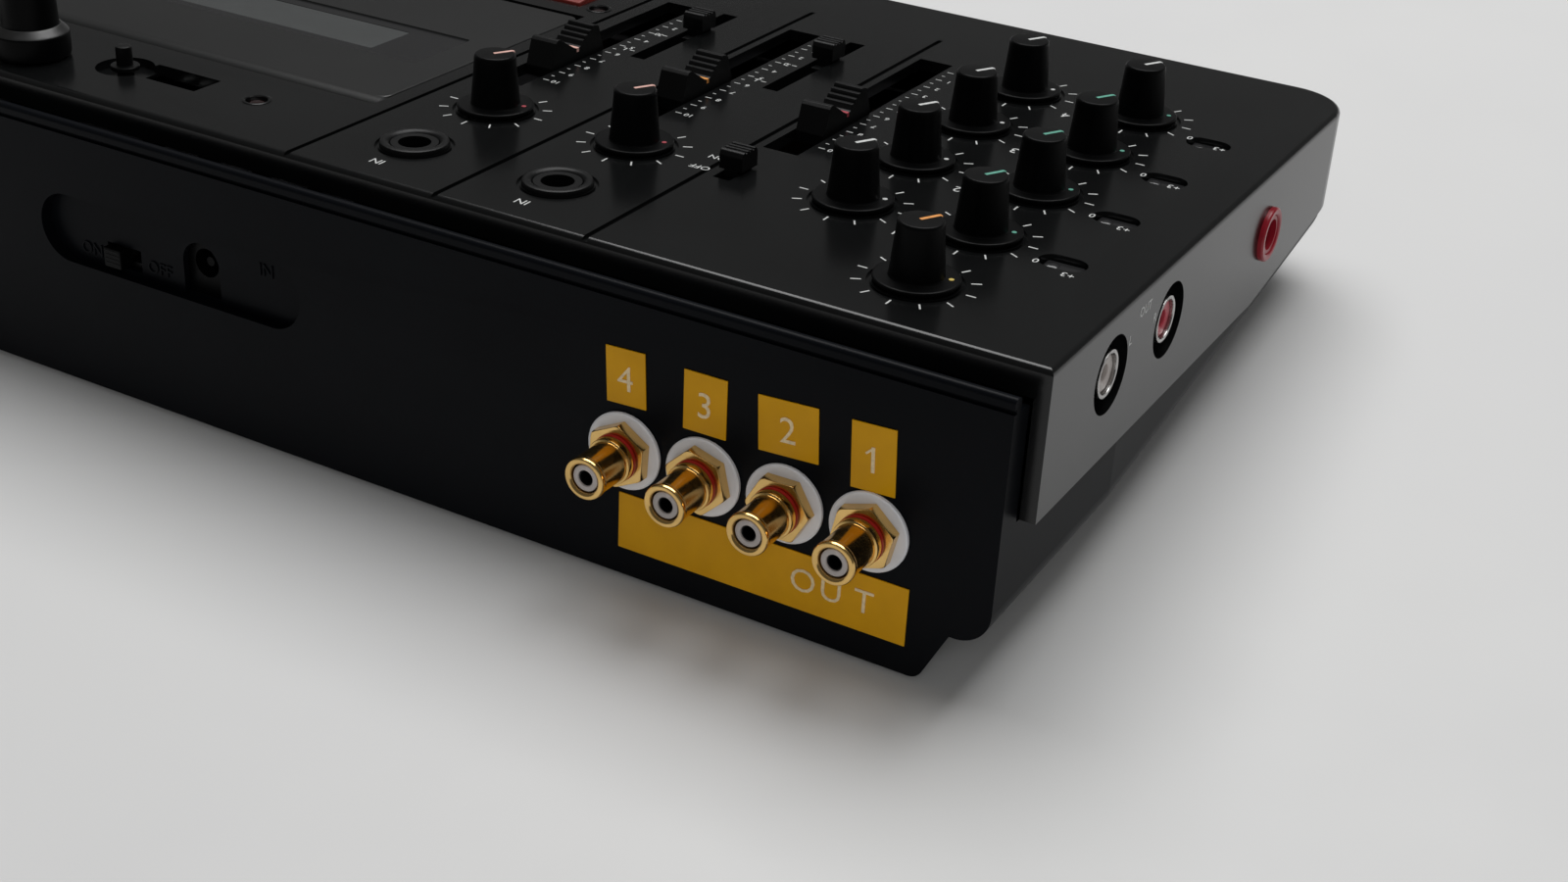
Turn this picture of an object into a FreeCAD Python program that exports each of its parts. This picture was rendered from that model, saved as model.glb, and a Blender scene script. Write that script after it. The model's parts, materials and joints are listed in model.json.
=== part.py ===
import FreeCAD, Part

# Desktop four track cassette recorder with a small mixer on its left half.
#
# Everything is drawn in the panel's own frame: x runs to the user's right from the left side,
# y runs to the rear from the rear edge of the panel (so the panel lies at y below zero), and z
# stands square to the panel, which is z = 0. The last step tilts the whole recorder so that its
# feet stand level and puts the origin under the middle of its box.

import math
import os
import Sketcher
from types import SimpleNamespace
from FreeCAD import Placement, Rotation, Vector

# name, value in mm (degrees for an angle) or formula, what it is. Places across the panel are shares of
# its width, so that the controls and the deck spread with it.
SIZES = [
    ("case_width", 300.0, "width over the side walls"),
    ("case_depth", 167.0, "depth of the panel, rear edge to front edge"),
    ("tilt_angle", 8.0, "angle of the panel to the table"),
    ("panel_thick", 2.5, "thickness of the panel"),
    ("wall_thick", 3.0, "thickness of the upper side walls"),
    ("side_drop", 28.7, "height of the upper side walls at the rear"),
    ("rim_drop", 44.0, "panel to the line of the sloped rim, at the rear edge"),
    ("rear_band", 5.85, "height of the upper shell's rear edge"),
    ("band_thick", 2.5, "thickness of that rear edge"),
    ("edge_round", 1.2, "round along the top edges"),
    ("plan_round", 13.0, "front corners seen from above"),
    ("shell_gap", 0.4, "gap between the two shells"),
    ("rear_rise", 5.6, "rear panel behind the upper shell"),
    ("bead_drop", 4.0, "top of the rear panel's bead"),
    ("bead_height", 2.0, "height of the bead"),
    ("bead_width", 2.2, "bead, front to rear"),
    ("bead_round", 0.95, "round on top of the bead"),
    ("bead_groove", 0.9, "height of the groove under the bead"),
    ("groove_depth", 0.7, "depth of the panel grooves and the bead groove"),
    ("belly_drop", 51.4, "panel to the sloped underside, at the rear edge"),
    ("belly_inset", 0.7, "lower side wall inside the upper one"),
    ("belly_round", 6.5, "round along the underside"),
    ("panel_inset", 3.7, "side edge of the rear panel"),
    ("flare_length", 38.0, "length over which the lower wall flares out"),
    ("tray_wall", 3.0, "side and front wall of the lower shell"),
    ("tray_floor", 2.5, "floor of the lower shell"),
    ("rear_wall", 4.0, "wall of the rear panel"),
    ("keel_drop", 62.2, "panel to the bottom of the keel, at the rear edge"),
    ("keel_inset", 11.2, "keel side where it leaves the underside"),
    ("keel_draft", 0.49, "how far the keel's side leans in for each mm down"),
    ("keel_length", 146.0, "length of the keel"),
    ("keel_round", 3.0, "round along the keel's bottom"),
    ("foot_radius", 7.0, "rubber foot"),
    ("foot_height", 1.2, "how far a foot stands out"),
    ("foot_inset", 30.0, "foot centre from the side"),
    ("foot_rear", 6.0, "rear feet from the panel's rear edge"),
    ("foot_span", 118.0, "rear feet to front feet"),
    ("groove_width", 1.2, "width of the grooves on the panel"),
    ("groove_end", 145.0, "how far forward the grooves run"),
    ("groove_first", "=case_width * 91.6 / 300", "groove beside the master fader"),
    ("groove_second", "=case_width * 125.4 / 300", "groove between the two input strips"),
    ("groove_third", "=case_width * 160.9 / 300", "groove beside the deck"),
    ("row_first", 18.5, "first row of controls"),
    ("row_pitch", 26.35, "pitch of the rows"),
    ("column_pan", "=case_width * 34.3 / 300", "outer column of knobs"),
    ("column_level", "=case_width * 61 / 300", "inner column of knobs"),
    ("strip_first", "=case_width * 110.3 / 300", "first input strip: trim knob and jack"),
    ("strip_pitch", "=case_width * 34 / 300", "one input strip to the next"),
    ("knob_radius", 4.15, "top of a knob"),
    ("knob_flare", 5.1, "foot of a knob's body"),
    ("skirt_radius", 7.9, "skirt of a knob"),
    ("skirt_thick", 0.9, "thickness of the skirt"),
    ("knob_height", 11.8, "knob above the panel"),
    ("knob_lift", 0.4, "air under a knob's skirt"),
    ("knob_bore", 8.0, "depth of a knob's bore"),
    ("moat_gap", 0.25, "panel left between a skirt and the groove round it"),
    ("moat_width", 0.7, "groove round a knob's skirt or a jack's ring"),
    ("moat_depth", 0.5, "depth of that groove"),
    ("knob_turn", 28.0, "angle of the index lines, clockwise from straight forward"),
    ("index_width", 0.9, "index line of a knob"),
    ("index_depth", 0.3, "depth of the index line"),
    ("shaft_radius", 2.9, "control shaft"),
    ("shaft_play", 0.1, "clearance of a shaft in its bushing"),
    ("bushing_radius", 3.8, "threaded bushing of a control"),
    ("hole_play", 0.2, "clearance of a panel hole"),
    ("pot_size", 11.0, "side of a control's body"),
    ("pot_height", 7.0, "height of a control's body"),
    ("board_drop", 19.0, "panel to the top of the mixer board"),
    ("board_thick", 1.6, "mixer board"),
    ("board_side", 12.0, "board from the left side"),
    ("board_right", "=case_width * 160 / 300", "right edge of the board"),
    ("board_rear", 12.0, "rear edge of the board"),
    ("board_front", 142.0, "front edge of the board"),
    ("board_step", 30.0, "board's rear edge beside the input jacks"),
    ("board_corner", "=case_width * 98 / 300", "where that step begins"),
    ("pitch_x", "=case_width * 240.6 / 300", "pitch knob"),
    ("pitch_y", 11.8, "pitch knob from the rear edge"),
    ("collar_radius", 7.9, "collar of the pitch knob"),
    ("collar_height", 5.6, "height of the collar"),
    ("collar_bevel", 1.4, "sloped ring on top of the collar"),
    ("pitch_radius", 5.9, "upper part of the pitch knob"),
    ("pitch_top", 5.6, "top of the pitch knob"),
    ("pitch_height", 19.0, "height of the pitch knob"),
    ("fader_master", "=case_width * 85.3 / 300", "master fader"),
    ("fader_first", "=case_width * 119.2 / 300", "first input fader"),
    ("fader_pitch", "=case_width * 33.4 / 300", "first input fader to the second"),
    ("fader_width", 8.0, "fader slot"),
    ("fader_rear", 59.5, "rear end of the fader slots"),
    ("fader_length", 70.6, "length of the fader slots"),
    ("fader_rest", "=fader_rear + fader_length * 0.313", "middle of a fader cap as it stands"),
    ("cap_length", 20.0, "fader cap"),
    ("cap_width", 6.6, "fader cap"),
    ("cap_height", 6.0, "ends of a fader cap above the panel"),
    ("cap_dish", 2.5, "middle of a fader cap above the panel"),
    ("cap_lean", 3.0, "how far a cap's ends lean in"),
    ("cap_foot", 2.0, "fader cap below the panel"),
    ("stem_width", 1.2, "stem of a fader"),
    ("stem_length", 4.0, "stem of a fader, along the slot"),
    ("stem_drop", 13.0, "panel to the end of the stem"),
    ("fader_body", 9.0, "width of a fader's body"),
    ("fader_top", 6.5, "panel to the top of a fader's body"),
    ("slit_width", 1.8, "slit in a fader's body"),
    ("slider_first", "=case_width * 105.7 / 300", "first assign switch"),
    ("slider_pitch", "=case_width * 33.9 / 300", "first assign switch to the second"),
    ("slider_rear", 90.4, "rear end of the assign switches' slots"),
    ("slider_length", 40.2, "length of the assign switches' slots"),
    ("slider_width", 3.8, "slot of a small switch"),
    ("slider_rest", "=slider_rear + slider_length * 0.649", "assign switch as it stands"),
    ("button_length", 6.0, "button of a small switch"),
    ("button_width", 5.2, "button of a small switch"),
    ("button_height", 4.5, "button of a small switch above the panel"),
    ("switch_body", 8.0, "width of a slide switch's body"),
    ("switch_top", 8.0, "panel to the top of a slide switch's body"),
    ("noise_x", "=case_width * 87 / 300", "noise reduction switch"),
    ("noise_rear", 39.6, "rear end of its slot"),
    ("noise_length", 11.0, "length of its slot"),
    ("noise_rest", 46.0, "noise reduction switch as it stands"),
    ("jack_bore", 3.25, "bore of a quarter inch jack"),
    ("jack_depth", 30.0, "depth of a jack's bore"),
    ("jack_bushing", 4.7, "bushing of an input jack"),
    ("jack_body", 14.0, "side of an input jack's body"),
    ("jack_nut", 6.9, "nut of an input jack"),
    ("jack_nut_thick", 1.1, "height of that nut"),
    ("phono_radius", 4.15, "barrel of a phono jack"),
    ("phono_wall", 0.9, "wall of that barrel"),
    ("phono_pin", 1.65, "hole for a phono plug's pin"),
    ("line_first", 27.9, "first line out socket from the rear edge"),
    ("line_pitch", 27.9, "first line out socket to the second"),
    ("line_drop", 12.0, "line out sockets below the panel"),
    ("line_hole", 7.4, "round window in the side wall"),
    ("line_body", 14.0, "side of a line out socket's body"),
    ("line_depth", 9.0, "depth of that body"),
    ("line_barrel", 4.6, "barrel of a line out socket"),
    ("line_recess", 0.4, "barrel inside the side wall's face"),
    ("remote_y", 113.0, "remote jack from the rear edge"),
    ("remote_drop", 14.2, "remote jack below the panel"),
    ("remote_bushing", 4.0, "bushing of the remote jack"),
    ("remote_collar", 5.7, "collar of the remote jack"),
    ("remote_stand", 1.2, "collar outside the side wall"),
    ("remote_body", 8.0, "width of the remote jack's body"),
    ("remote_depth", 24.0, "length of the remote jack's body"),
    ("tape_first", 27.8, "first tape out jack"),
    ("tape_pitch", 16.8, "one tape out jack to the next"),
    ("tape_drop", 36.5, "tape out jacks below the panel"),
    ("tape_washer", 7.7, "insulating washer"),
    ("tape_washer_thick", 1.0, "thickness of that washer"),
    ("tape_nut", 11.2, "nut across its flats"),
    ("tape_nut_thick", 2.4, "thickness of that nut"),
    ("tape_band", 4.6, "colour band"),
    ("tape_band_thick", 0.9, "width of the colour band"),
    ("tape_stand", 13.6, "tape out jack outside the rear panel"),
    ("tape_shank", 3.0, "shank of a tape out jack"),
    ("tape_inside", 8.0, "shank inside the rear panel"),
    ("label_thick", 0.3, "label tape"),
    ("label_width", 9.4, "number label"),
    ("label_height", 11.4, "number label"),
    ("label_drop", 22.4, "middle of the number labels below the panel"),
    ("strip_left", 19.3, "long label's left edge"),
    ("strip_width", 60.0, "long label"),
    ("strip_height", 11.7, "long label"),
    ("strip_drop", 51.3, "middle of the long label below the panel"),
    ("recess_x", "=case_width * 189.3 / 300", "middle of the power recess"),
    ("recess_drop", 27.8, "power recess below the panel"),
    ("recess_length", 69.6, "power recess"),
    ("recess_height", 15.0, "power recess"),
    ("recess_depth", 2.6, "power recess"),
    ("power_x", "=case_width * 203.6 / 300", "power switch"),
    ("power_drop", 31.9, "power switch below the panel"),
    ("power_window", 9.2, "window of the power switch"),
    ("power_height", 5.0, "window of the power switch"),
    ("power_button", 4.6, "button of the power switch"),
    ("power_travel", 3.4, "travel of the power switch"),
    ("supply_x", "=case_width * 182.4 / 300", "supply socket"),
    ("supply_drop", 28.2, "supply socket below the panel"),
    ("supply_width", 9.7, "arched window of the supply socket"),
    ("supply_tail", 7.0, "straight part of that window"),
    ("supply_bore", 3.1, "bore of the supply socket"),
    ("supply_pin", 1.0, "pin of the supply socket"),
    ("socket_depth", 11.0, "depth of the supply socket's body"),
    ("meter_x", "=case_width * 16.5 / 300", "level lights"),
    ("meter_first", 41.8, "first level light"),
    ("meter_pitch", 25.3, "one level light to the next"),
    ("meter_length", 9.4, "window of a level light"),
    ("meter_width", 6.2, "window of a level light"),
    ("light_sink", 0.6, "top of a light below the panel"),
    ("light_radius", 2.1, "round light"),
    ("power_light_x", "=case_width * 185.4 / 300", "power light"),
    ("power_light_y", 19.2, "power light from the rear edge"),
    ("record_light_x", "=case_width * 166.4 / 300", "record light"),
    ("record_light_y", 115.0, "record light from the rear edge"),
    ("counter_left", "=case_width * 198.8 / 300", "counter window"),
    ("counter_length", 17.2, "counter window"),
    ("counter_rear", 15.3, "counter window"),
    ("counter_width", 8.1, "counter window"),
    ("wheel_radius", 5.4, "counter wheel"),
    ("wheel_width", 4.2, "counter wheel"),
    ("wheel_pitch", 4.7, "one counter wheel to the next"),
    ("wheel_drop", 8.6, "axle of the counter wheels below the panel"),
    ("axle_radius", 1.0, "axle of the counter wheels, and the keys' rod"),
    ("reset_gap", 4.5, "counter window to the reset pin's centre"),
    ("reset_y", 18.0, "counter reset from the rear edge"),
    ("reset_radius", 1.7, "counter reset pin"),
    ("reset_height", 4.6, "counter reset pin above the panel"),
    ("reset_flange", 3.0, "flange of the counter reset"),
    ("reset_dish", 6.1, "round dish about the counter reset"),
    ("reset_dish_depth", 1.8, "depth of that dish"),
    ("lid_left", "=case_width * 166 / 300", "lid's left edge"),
    ("lid_width", "=case_width * 115 / 300", "lid"),
    ("lid_rear", 32.4, "lid's rear edge"),
    ("lid_length", 74.0, "lid, rear to front"),
    ("lid_gap", 0.5, "gap round the lid"),
    ("lid_front_gap", 1.5, "finger gap before the lid"),
    ("lid_thick", 2.4, "lid"),
    ("lid_corner", 2.2, "front corners of the lid"),
    ("hinge_radius", 3.8, "round rear edge of the lid, about its pins"),
    ("hinge_pin", 0.7, "pin of the lid"),
    ("pin_length", 2.6, "how far a pin stands out of the lid"),
    ("ear_thick", 2.0, "ear of the deck"),
    ("window_left", "=case_width * 189.7 / 300", "clear window of the lid"),
    ("window_length", "=case_width * 67.6 / 300", "clear window of the lid"),
    ("window_rear", 60.5, "clear window of the lid"),
    ("window_width", 13.8, "clear window of the lid"),
    ("smoke_margin", 14.4, "sunk field beyond the window's ends"),
    ("smoke_front", 3.3, "sunk field before and behind the window"),
    ("smoke_depth", 0.4, "depth of the sunk field"),
    ("deck_drop", 17.5, "panel to the top of the deck plate"),
    ("deck_thick", 1.5, "deck plate"),
    ("deck_left", "=case_width * 163 / 300", "deck plate"),
    ("deck_right", "=case_width * 287.5 / 300", "deck plate"),
    ("deck_rear", 12.5, "deck plate"),
    ("deck_front", 155.0, "deck plate"),
    ("hub_y", 67.4, "hubs from the rear edge"),
    ("hub_pitch", 42.5, "supply hub to take-up hub"),
    ("hub_radius", 3.0, "spindle of a hub"),
    ("hub_fin", 4.0, "fins of a hub"),
    ("hub_flange", 7.0, "flange of a hub"),
    ("hub_height", 9.0, "hub above the deck plate"),
    ("hub_shaft", 1.5, "shaft of a hub"),
    ("capstan_x", "=case_width * 246.5 / 300", "capstan"),
    ("capstan_y", 96.0, "capstan from the rear edge"),
    ("capstan_radius", 1.0, "capstan"),
    ("flywheel_radius", 20.0, "flywheel"),
    ("flywheel_thick", 4.5, "flywheel"),
    ("head_width", 13.0, "tape head"),
    ("head_length", 7.0, "tape head, front to rear"),
    ("head_height", 9.0, "tape head"),
    ("motor_radius", 13.0, "motor"),
    ("motor_height", 18.0, "motor"),
    ("motor_x", "=case_width * 266 / 300", "motor"),
    ("motor_y", 45.0, "motor from the rear edge"),
    ("key_left", "=case_width * 171.6 / 300", "first transport key"),
    ("key_pitch", "=case_width * 18.4 / 300", "one transport key to the next"),
    ("key_width", "=case_width * 17.4 / 300", "transport key"),
    ("key_rear", 114.4, "rear edge of the keys"),
    ("key_length", 31.0, "transport key"),
    ("key_rise", 0.9, "key above the panel"),
    ("key_depth", 7.5, "key below the panel"),
    ("key_gap", 0.7, "gap round the keys"),
    ("key_front_gap", 1.5, "gap before the keys"),
    ("key_travel", 8.0, "angle of a pressed key"),
    ("rod_y", 110.6, "keys' rod from the rear edge"),
    ("rod_drop", 5.2, "keys' rod below the panel"),
    ("barrel_radius", 2.2, "barrel of a key on the rod"),
    ("screw_side", 14.0, "front screws from the sides"),
    ("screw_rear_side", 53.0, "left rear screw from the left side"),
    ("screw_far_side", 47.0, "right rear screw from the right side"),
    ("screw_rear", 6.8, "rear screws from the rear edge"),
    ("screw_front", 155.0, "front screws from the rear edge"),
    ("split_rear", 30.0, "where the rear screw posts meet, below the panel"),
    ("split_front", 24.0, "where the front screw posts meet, below the panel"),
    ("post_radius", 3.5, "screw post of the upper shell"),
    ("well_radius", 3.3, "screw well of the lower shell"),
    ("well_wall", 1.3, "wall of a screw well"),
    ("web_thick", 1.5, "web under a screw's head"),
    ("screw_radius", 1.4, "screw"),
    ("screw_head", 2.9, "screw head"),
    ("screw_head_thick", 2.0, "screw head"),
    ("screw_grip", 9.0, "screw in the upper post"),
    ("stay_radius", 2.6, "posts that carry the board and the deck"),
]


class Measure:
    """A number that remembers the sheet formula it comes from."""

    def __init__(self, number, formula):
        self.number = number
        self.formula = formula

    def __add__(self, other):
        other = measure(other)
        return Measure(self.number + other.number, "(%s + %s)" % (self.formula, other.formula))

    def __sub__(self, other):
        other = measure(other)
        return Measure(self.number - other.number, "(%s - %s)" % (self.formula, other.formula))

    def __mul__(self, other):
        other = measure(other)
        return Measure(self.number * other.number, "(%s * %s)" % (self.formula, other.formula))

    def __truediv__(self, other):
        other = measure(other)
        return Measure(self.number / other.number, "(%s / %s)" % (self.formula, other.formula))

    def __radd__(self, other):
        return measure(other) + self

    def __rsub__(self, other):
        return measure(other) - self

    def __rmul__(self, other):
        return measure(other) * self

    def __neg__(self):
        return measure(0) - self


def measure(value):
    if isinstance(value, Measure):
        return value
    return Measure(float(value), "(%r)" % float(value))


def fill_sheet(doc):
    """Write the sizes into a sheet and read them back, those with a formula worked out."""
    sheet = doc.addObject("Spreadsheet::Sheet", "Sizes")
    for row, (name, value, note) in enumerate(SIZES, start=1):
        sheet.set("A%d" % row, name)
        sheet.setAlias("B%d" % row, name)
        sheet.set("B%d" % row, value if isinstance(value, str) else "%g" % value)
        sheet.set("C%d" % row, note)
    doc.recompute()
    sizes = {name: Measure(float(sheet.get(name)), "Sizes." + name) for name, value, note in SIZES}
    return SimpleNamespace(**sizes)


doc = FreeCAD.newDocument("Recorder")
size = fill_sheet(doc)
slope = Measure(math.tan(math.radians(size.tilt_angle.number)), "tan(Sizes.tilt_angle * 1 deg)")
middle = size.case_width / 2
nodes = []


# Drawing helpers

def keep(item, label):
    """Enter an object as a sub-part under its own name."""
    item.Label = label
    nodes.append(item)
    return item


def new_body(name):
    return doc.addObject("PartDesign::Body", name)


def plane_of(body, role):
    return next(item for item in body.Origin.OriginFeatures if item.Role == role)


def new_sketch(body, role, offset=0):
    """An empty sketch on one of the body's own planes, moved along that plane's normal."""
    sketch = body.newObject("Sketcher::SketchObject", "Sketch")
    sketch.AttachmentSupport = [(plane_of(body, role), "")]
    sketch.MapMode = "FlatFace"
    offset = measure(offset)
    sketch.AttachmentOffset = Placement(Vector(0, 0, offset.number), Rotation())
    sketch.setExpression("AttachmentOffset.Base.z", offset.formula)
    return sketch


def pin_point(sketch, edge, end, across, along):
    for kind, value in (("DistanceX", across), ("DistanceY", along)):
        value = measure(value)
        index = sketch.addConstraint(Sketcher.Constraint(kind, -1, 1, edge, end, value.number))
        sketch.setExpression("Constraints[%d]" % index, value.formula)


def polygon(sketch, corners):
    corners = [(measure(a), measure(b)) for a, b in corners]
    ends = [Vector(a.number, b.number, 0) for a, b in corners]
    first = sketch.GeometryCount
    count = len(corners)
    for index in range(count):
        sketch.addGeometry(Part.LineSegment(ends[index], ends[(index + 1) % count]))
    for index in range(count):
        following = first + (index + 1) % count
        sketch.addConstraint(Sketcher.Constraint("Coincident", first + index, 2, following, 1))
    for index, (across, along) in enumerate(corners):
        pin_point(sketch, first + index, 1, across, along)


def rectangle(sketch, left, right, low, high):
    polygon(sketch, [(left, low), (right, low), (right, high), (left, high)])


def circle(sketch, across, along, radius):
    across, along, radius = measure(across), measure(along), measure(radius)
    centre = Vector(across.number, along.number, 0)
    edge = sketch.addGeometry(Part.Circle(centre, Vector(0, 0, 1), radius.number))
    pin_point(sketch, edge, 3, across, along)
    index = sketch.addConstraint(Sketcher.Constraint("Radius", edge, radius.number))
    sketch.setExpression("Constraints[%d]" % index, radius.formula)


def capsule(sketch, across, along, length, height):
    """A slot with round ends, its length along the sketch's first axis."""
    radius = measure(height) / 2
    reach = measure(length) / 2 - radius
    left, right = measure(across) - reach, measure(across) + reach
    along = measure(along)
    normal = Vector(0, 0, 1)
    ends = []
    for centre, start in ((left, math.pi / 2), (right, -math.pi / 2)):
        ring = Part.Circle(Vector(centre.number, along.number, 0), normal, radius.number)
        ends.append(sketch.addGeometry(Part.ArcOfCircle(ring, start, start + math.pi)))
    low = sketch.addGeometry(Part.LineSegment(
        Vector(left.number, along.number - radius.number, 0),
        Vector(right.number, along.number - radius.number, 0)))
    high = sketch.addGeometry(Part.LineSegment(
        Vector(right.number, along.number + radius.number, 0),
        Vector(left.number, along.number + radius.number, 0)))
    for a, a_end, b, b_end in ((ends[0], 2, low, 1), (low, 2, ends[1], 1),
                               (ends[1], 2, high, 1), (high, 2, ends[0], 1)):
        sketch.addConstraint(Sketcher.Constraint("Tangent", a, a_end, b, b_end))
    pin_point(sketch, ends[0], 3, left, along)
    pin_point(sketch, ends[1], 3, right, along)
    index = sketch.addConstraint(Sketcher.Constraint("Radius", ends[0], radius.number))
    sketch.setExpression("Constraints[%d]" % index, radius.formula)


def tub(sketch, left, right, low, high, radius):
    """A rectangle with its two low corners rounded."""
    left, right, low, high, radius = [measure(v) for v in (left, right, low, high, radius)]
    normal = Vector(0, 0, 1)
    centres = [(left + radius, low + radius), (right - radius, low + radius)]
    arcs = []
    for (across, along), start in zip(centres, (math.pi, math.pi * 1.5)):
        ring = Part.Circle(Vector(across.number, along.number, 0), normal, radius.number)
        arcs.append(sketch.addGeometry(Part.ArcOfCircle(ring, start, start + math.pi / 2)))
    ends = [(left, high), (left, centres[0][1]), (centres[0][0], low), (centres[1][0], low),
            (right, centres[1][1]), (right, high)]
    ends = [Vector(across.number, along.number, 0) for across, along in ends]
    lines = [sketch.addGeometry(Part.LineSegment(ends[a], ends[b]))
             for a, b in ((0, 1), (2, 3), (4, 5), (5, 0))]
    for a, a_end, b, b_end in ((lines[0], 2, arcs[0], 1), (arcs[0], 2, lines[1], 1),
                               (lines[1], 2, arcs[1], 1), (arcs[1], 2, lines[2], 1)):
        sketch.addConstraint(Sketcher.Constraint("Tangent", a, a_end, b, b_end))
    sketch.addConstraint(Sketcher.Constraint("Coincident", lines[2], 2, lines[3], 1))
    sketch.addConstraint(Sketcher.Constraint("Coincident", lines[3], 2, lines[0], 1))
    pin_point(sketch, arcs[0], 3, *centres[0])
    pin_point(sketch, arcs[1], 3, *centres[1])
    pin_point(sketch, lines[3], 1, right, high)
    pin_point(sketch, lines[3], 2, left, high)
    for arc in arcs:
        index = sketch.addConstraint(Sketcher.Constraint("Radius", arc, radius.number))
        sketch.setExpression("Constraints[%d]" % index, radius.formula)


def pad(body, sketch, length, reverse=False):
    feature = body.newObject("PartDesign::Pad", "Pad")
    feature.Profile = sketch
    feature.setExpression("Length", measure(length).formula)
    feature.Reversed = reverse
    doc.recompute()
    return feature


def pocket(body, sketch, length=None, reverse=False, both=False):
    """Cut against the sketch's normal, or through everything when no length is given."""
    before = body.Shape.Volume
    feature = body.newObject("PartDesign::Pocket", "Pocket")
    feature.Profile = sketch
    if length is None:
        feature.Type = "ThroughAll"
    else:
        feature.setExpression("Length", measure(length).formula)
    feature.Reversed = reverse
    feature.Midplane = both
    doc.recompute()
    if body.Shape.Volume > before - 1e-6:
        raise RuntimeError("%s of %s cuts nothing" % (feature.Name, body.Name))
    return feature


def revolve(body, sketch, axis="V_Axis"):
    feature = body.newObject("PartDesign::Revolution", "Revolution")
    feature.Profile = sketch
    feature.ReferenceAxis = (sketch, [axis])
    feature.Angle = 360
    doc.recompute()
    return feature


def fillet(body, radius, chosen):
    """Round the edges of the body's last feature that the test picks out."""
    base = body.Tip
    names = ["Edge%d" % number for number, edge in enumerate(base.Shape.Edges, start=1)
             if chosen(edge)]
    feature = body.newObject("PartDesign::Fillet", "Fillet")
    feature.Base = (base, names)
    feature.setExpression("Radius", measure(radius).formula)
    doc.recompute()
    return feature


def near(a, b):
    return abs(a - b) < 1e-3


def upright(edge):
    box = edge.BoundBox
    return near(box.XLength, 0) and near(box.YLength, 0) and box.ZLength > 1e-3


def place(item, across, along, up):
    for name, value in zip("xyz", (across, along, up)):
        item.setExpression("Placement.Base." + name, measure(value).formula)
    return item


def box(name, left, right, front, rear, low, high):
    item = doc.addObject("Part::Box", name)
    for side, value in (("Length", measure(right) - left), ("Width", measure(rear) - front),
                        ("Height", measure(high) - low)):
        item.setExpression(side, value.formula)
    return place(item, left, front, low)


TURNS = {"x": Rotation(Vector(0, 1, 0), 90), "y": Rotation(Vector(1, 0, 0), -90), "z": Rotation()}


def rod(name, axis, across, along, up, radius, length):
    """A cylinder that starts at the given point and runs up its axis."""
    item = doc.addObject("Part::Cylinder", name)
    item.setExpression("Radius", measure(radius).formula)
    item.setExpression("Height", measure(length).formula)
    item.Placement = Placement(Vector(), TURNS[axis])
    return place(item, across, along, up)


def hexagon(name, across, along, up, flats, length):
    """A hexagonal prism that runs along y."""
    item = doc.addObject("Part::Prism", name)
    item.Polygon = 6
    item.setExpression("Circumradius", (measure(flats) / math.sqrt(3)).formula)
    item.setExpression("Height", measure(length).formula)
    item.Placement = Placement(Vector(), TURNS["y"])
    return place(item, across, along, up)


def fuse(name, *items):
    item = doc.addObject("Part::MultiFuse", name)
    item.Shapes = list(items)
    return item


def cut(name, base, *tools):
    item = doc.addObject("Part::Cut", name)
    item.Base = base
    item.Tool = tools[0] if len(tools) == 1 else fuse(name + "_tools", *tools)
    return item


def group(label, items):
    item = doc.addObject("Part::Compound", label)
    item.Links = list(items)
    return keep(item, label)


# Places that several pieces share

def rim(y):
    """Height of the sloped rim, and of planes parallel to it, at a place along y."""
    return -size.rim_drop - slope * y


def belly(y):
    return -size.belly_drop - slope * y


def keel(y):
    return -size.keel_drop - slope * y


def row(number):
    return -size.row_first - size.row_pitch * number


rows = [row(number) for number in range(5)]
front = -size.case_depth
floor_front = front + size.belly_inset
side_knee = (size.side_drop - size.rim_drop) / slope
strips = [size.strip_first + size.strip_pitch * number for number in range(2)]
input_faders = [size.fader_first + size.fader_pitch * number for number in range(2)]
sliders = [size.slider_first + size.slider_pitch * number for number in range(2)]
tape_jacks = [size.tape_first + size.tape_pitch * number for number in range(4)]
meters = [-size.meter_first - size.meter_pitch * number for number in range(4)]
line_outs = [-size.line_first - size.line_pitch * number for number in range(2)]
keys = [size.key_left + size.key_pitch * number for number in range(6)]
knob_places = [("level_knob_%d" % n, size.column_level, rows[n]) for n in range(1, 5)]
knob_places += [("pan_knob_%d" % n, size.column_pan, rows[n]) for n in range(1, 5)]
knob_places += [("trim_knob_%d" % n, strips[n - 1], rows[1]) for n in (1, 2)]
knob_places += [("phones_knob", size.column_pan, rows[0])]
fader_places = [("input_fader_1", input_faders[0]), ("input_fader_2", input_faders[1]),
                ("master_fader", size.fader_master)]
lid_front = -size.lid_rear - size.lid_length
lid_right = size.lid_left + size.lid_width
hinge_y = -size.lid_rear - size.hinge_radius
keys_right = keys[-1] + size.key_width
key_front = -size.key_rear - size.key_length
screws = [(size.screw_rear_side, -size.screw_rear, size.split_rear),
          (size.case_width - size.screw_far_side, -size.screw_rear, size.split_rear),
          (size.screw_side, -size.screw_front, size.split_front),
          (middle, -size.screw_front, size.split_front),
          (size.case_width - size.screw_side, -size.screw_front, size.split_front)]
board_stays = [(size.column_pan + size.pot_size * 1.2, row(0) - size.pot_size * 1.15),
               (size.meter_x + 5, -size.board_front + 7),
               (strips[1] + size.pot_size * 0.6, -size.board_step - 4),
               (strips[1] + size.pot_size * 0.3, -size.board_front + 5)]
deck_stays = [(size.deck_left + 11, -size.deck_rear - 12), (size.deck_right - 8, -size.deck_rear - 12),
              (size.deck_left + 5, -size.deck_front + 5), (size.deck_right - 3, -size.deck_front + 12)]
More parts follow.
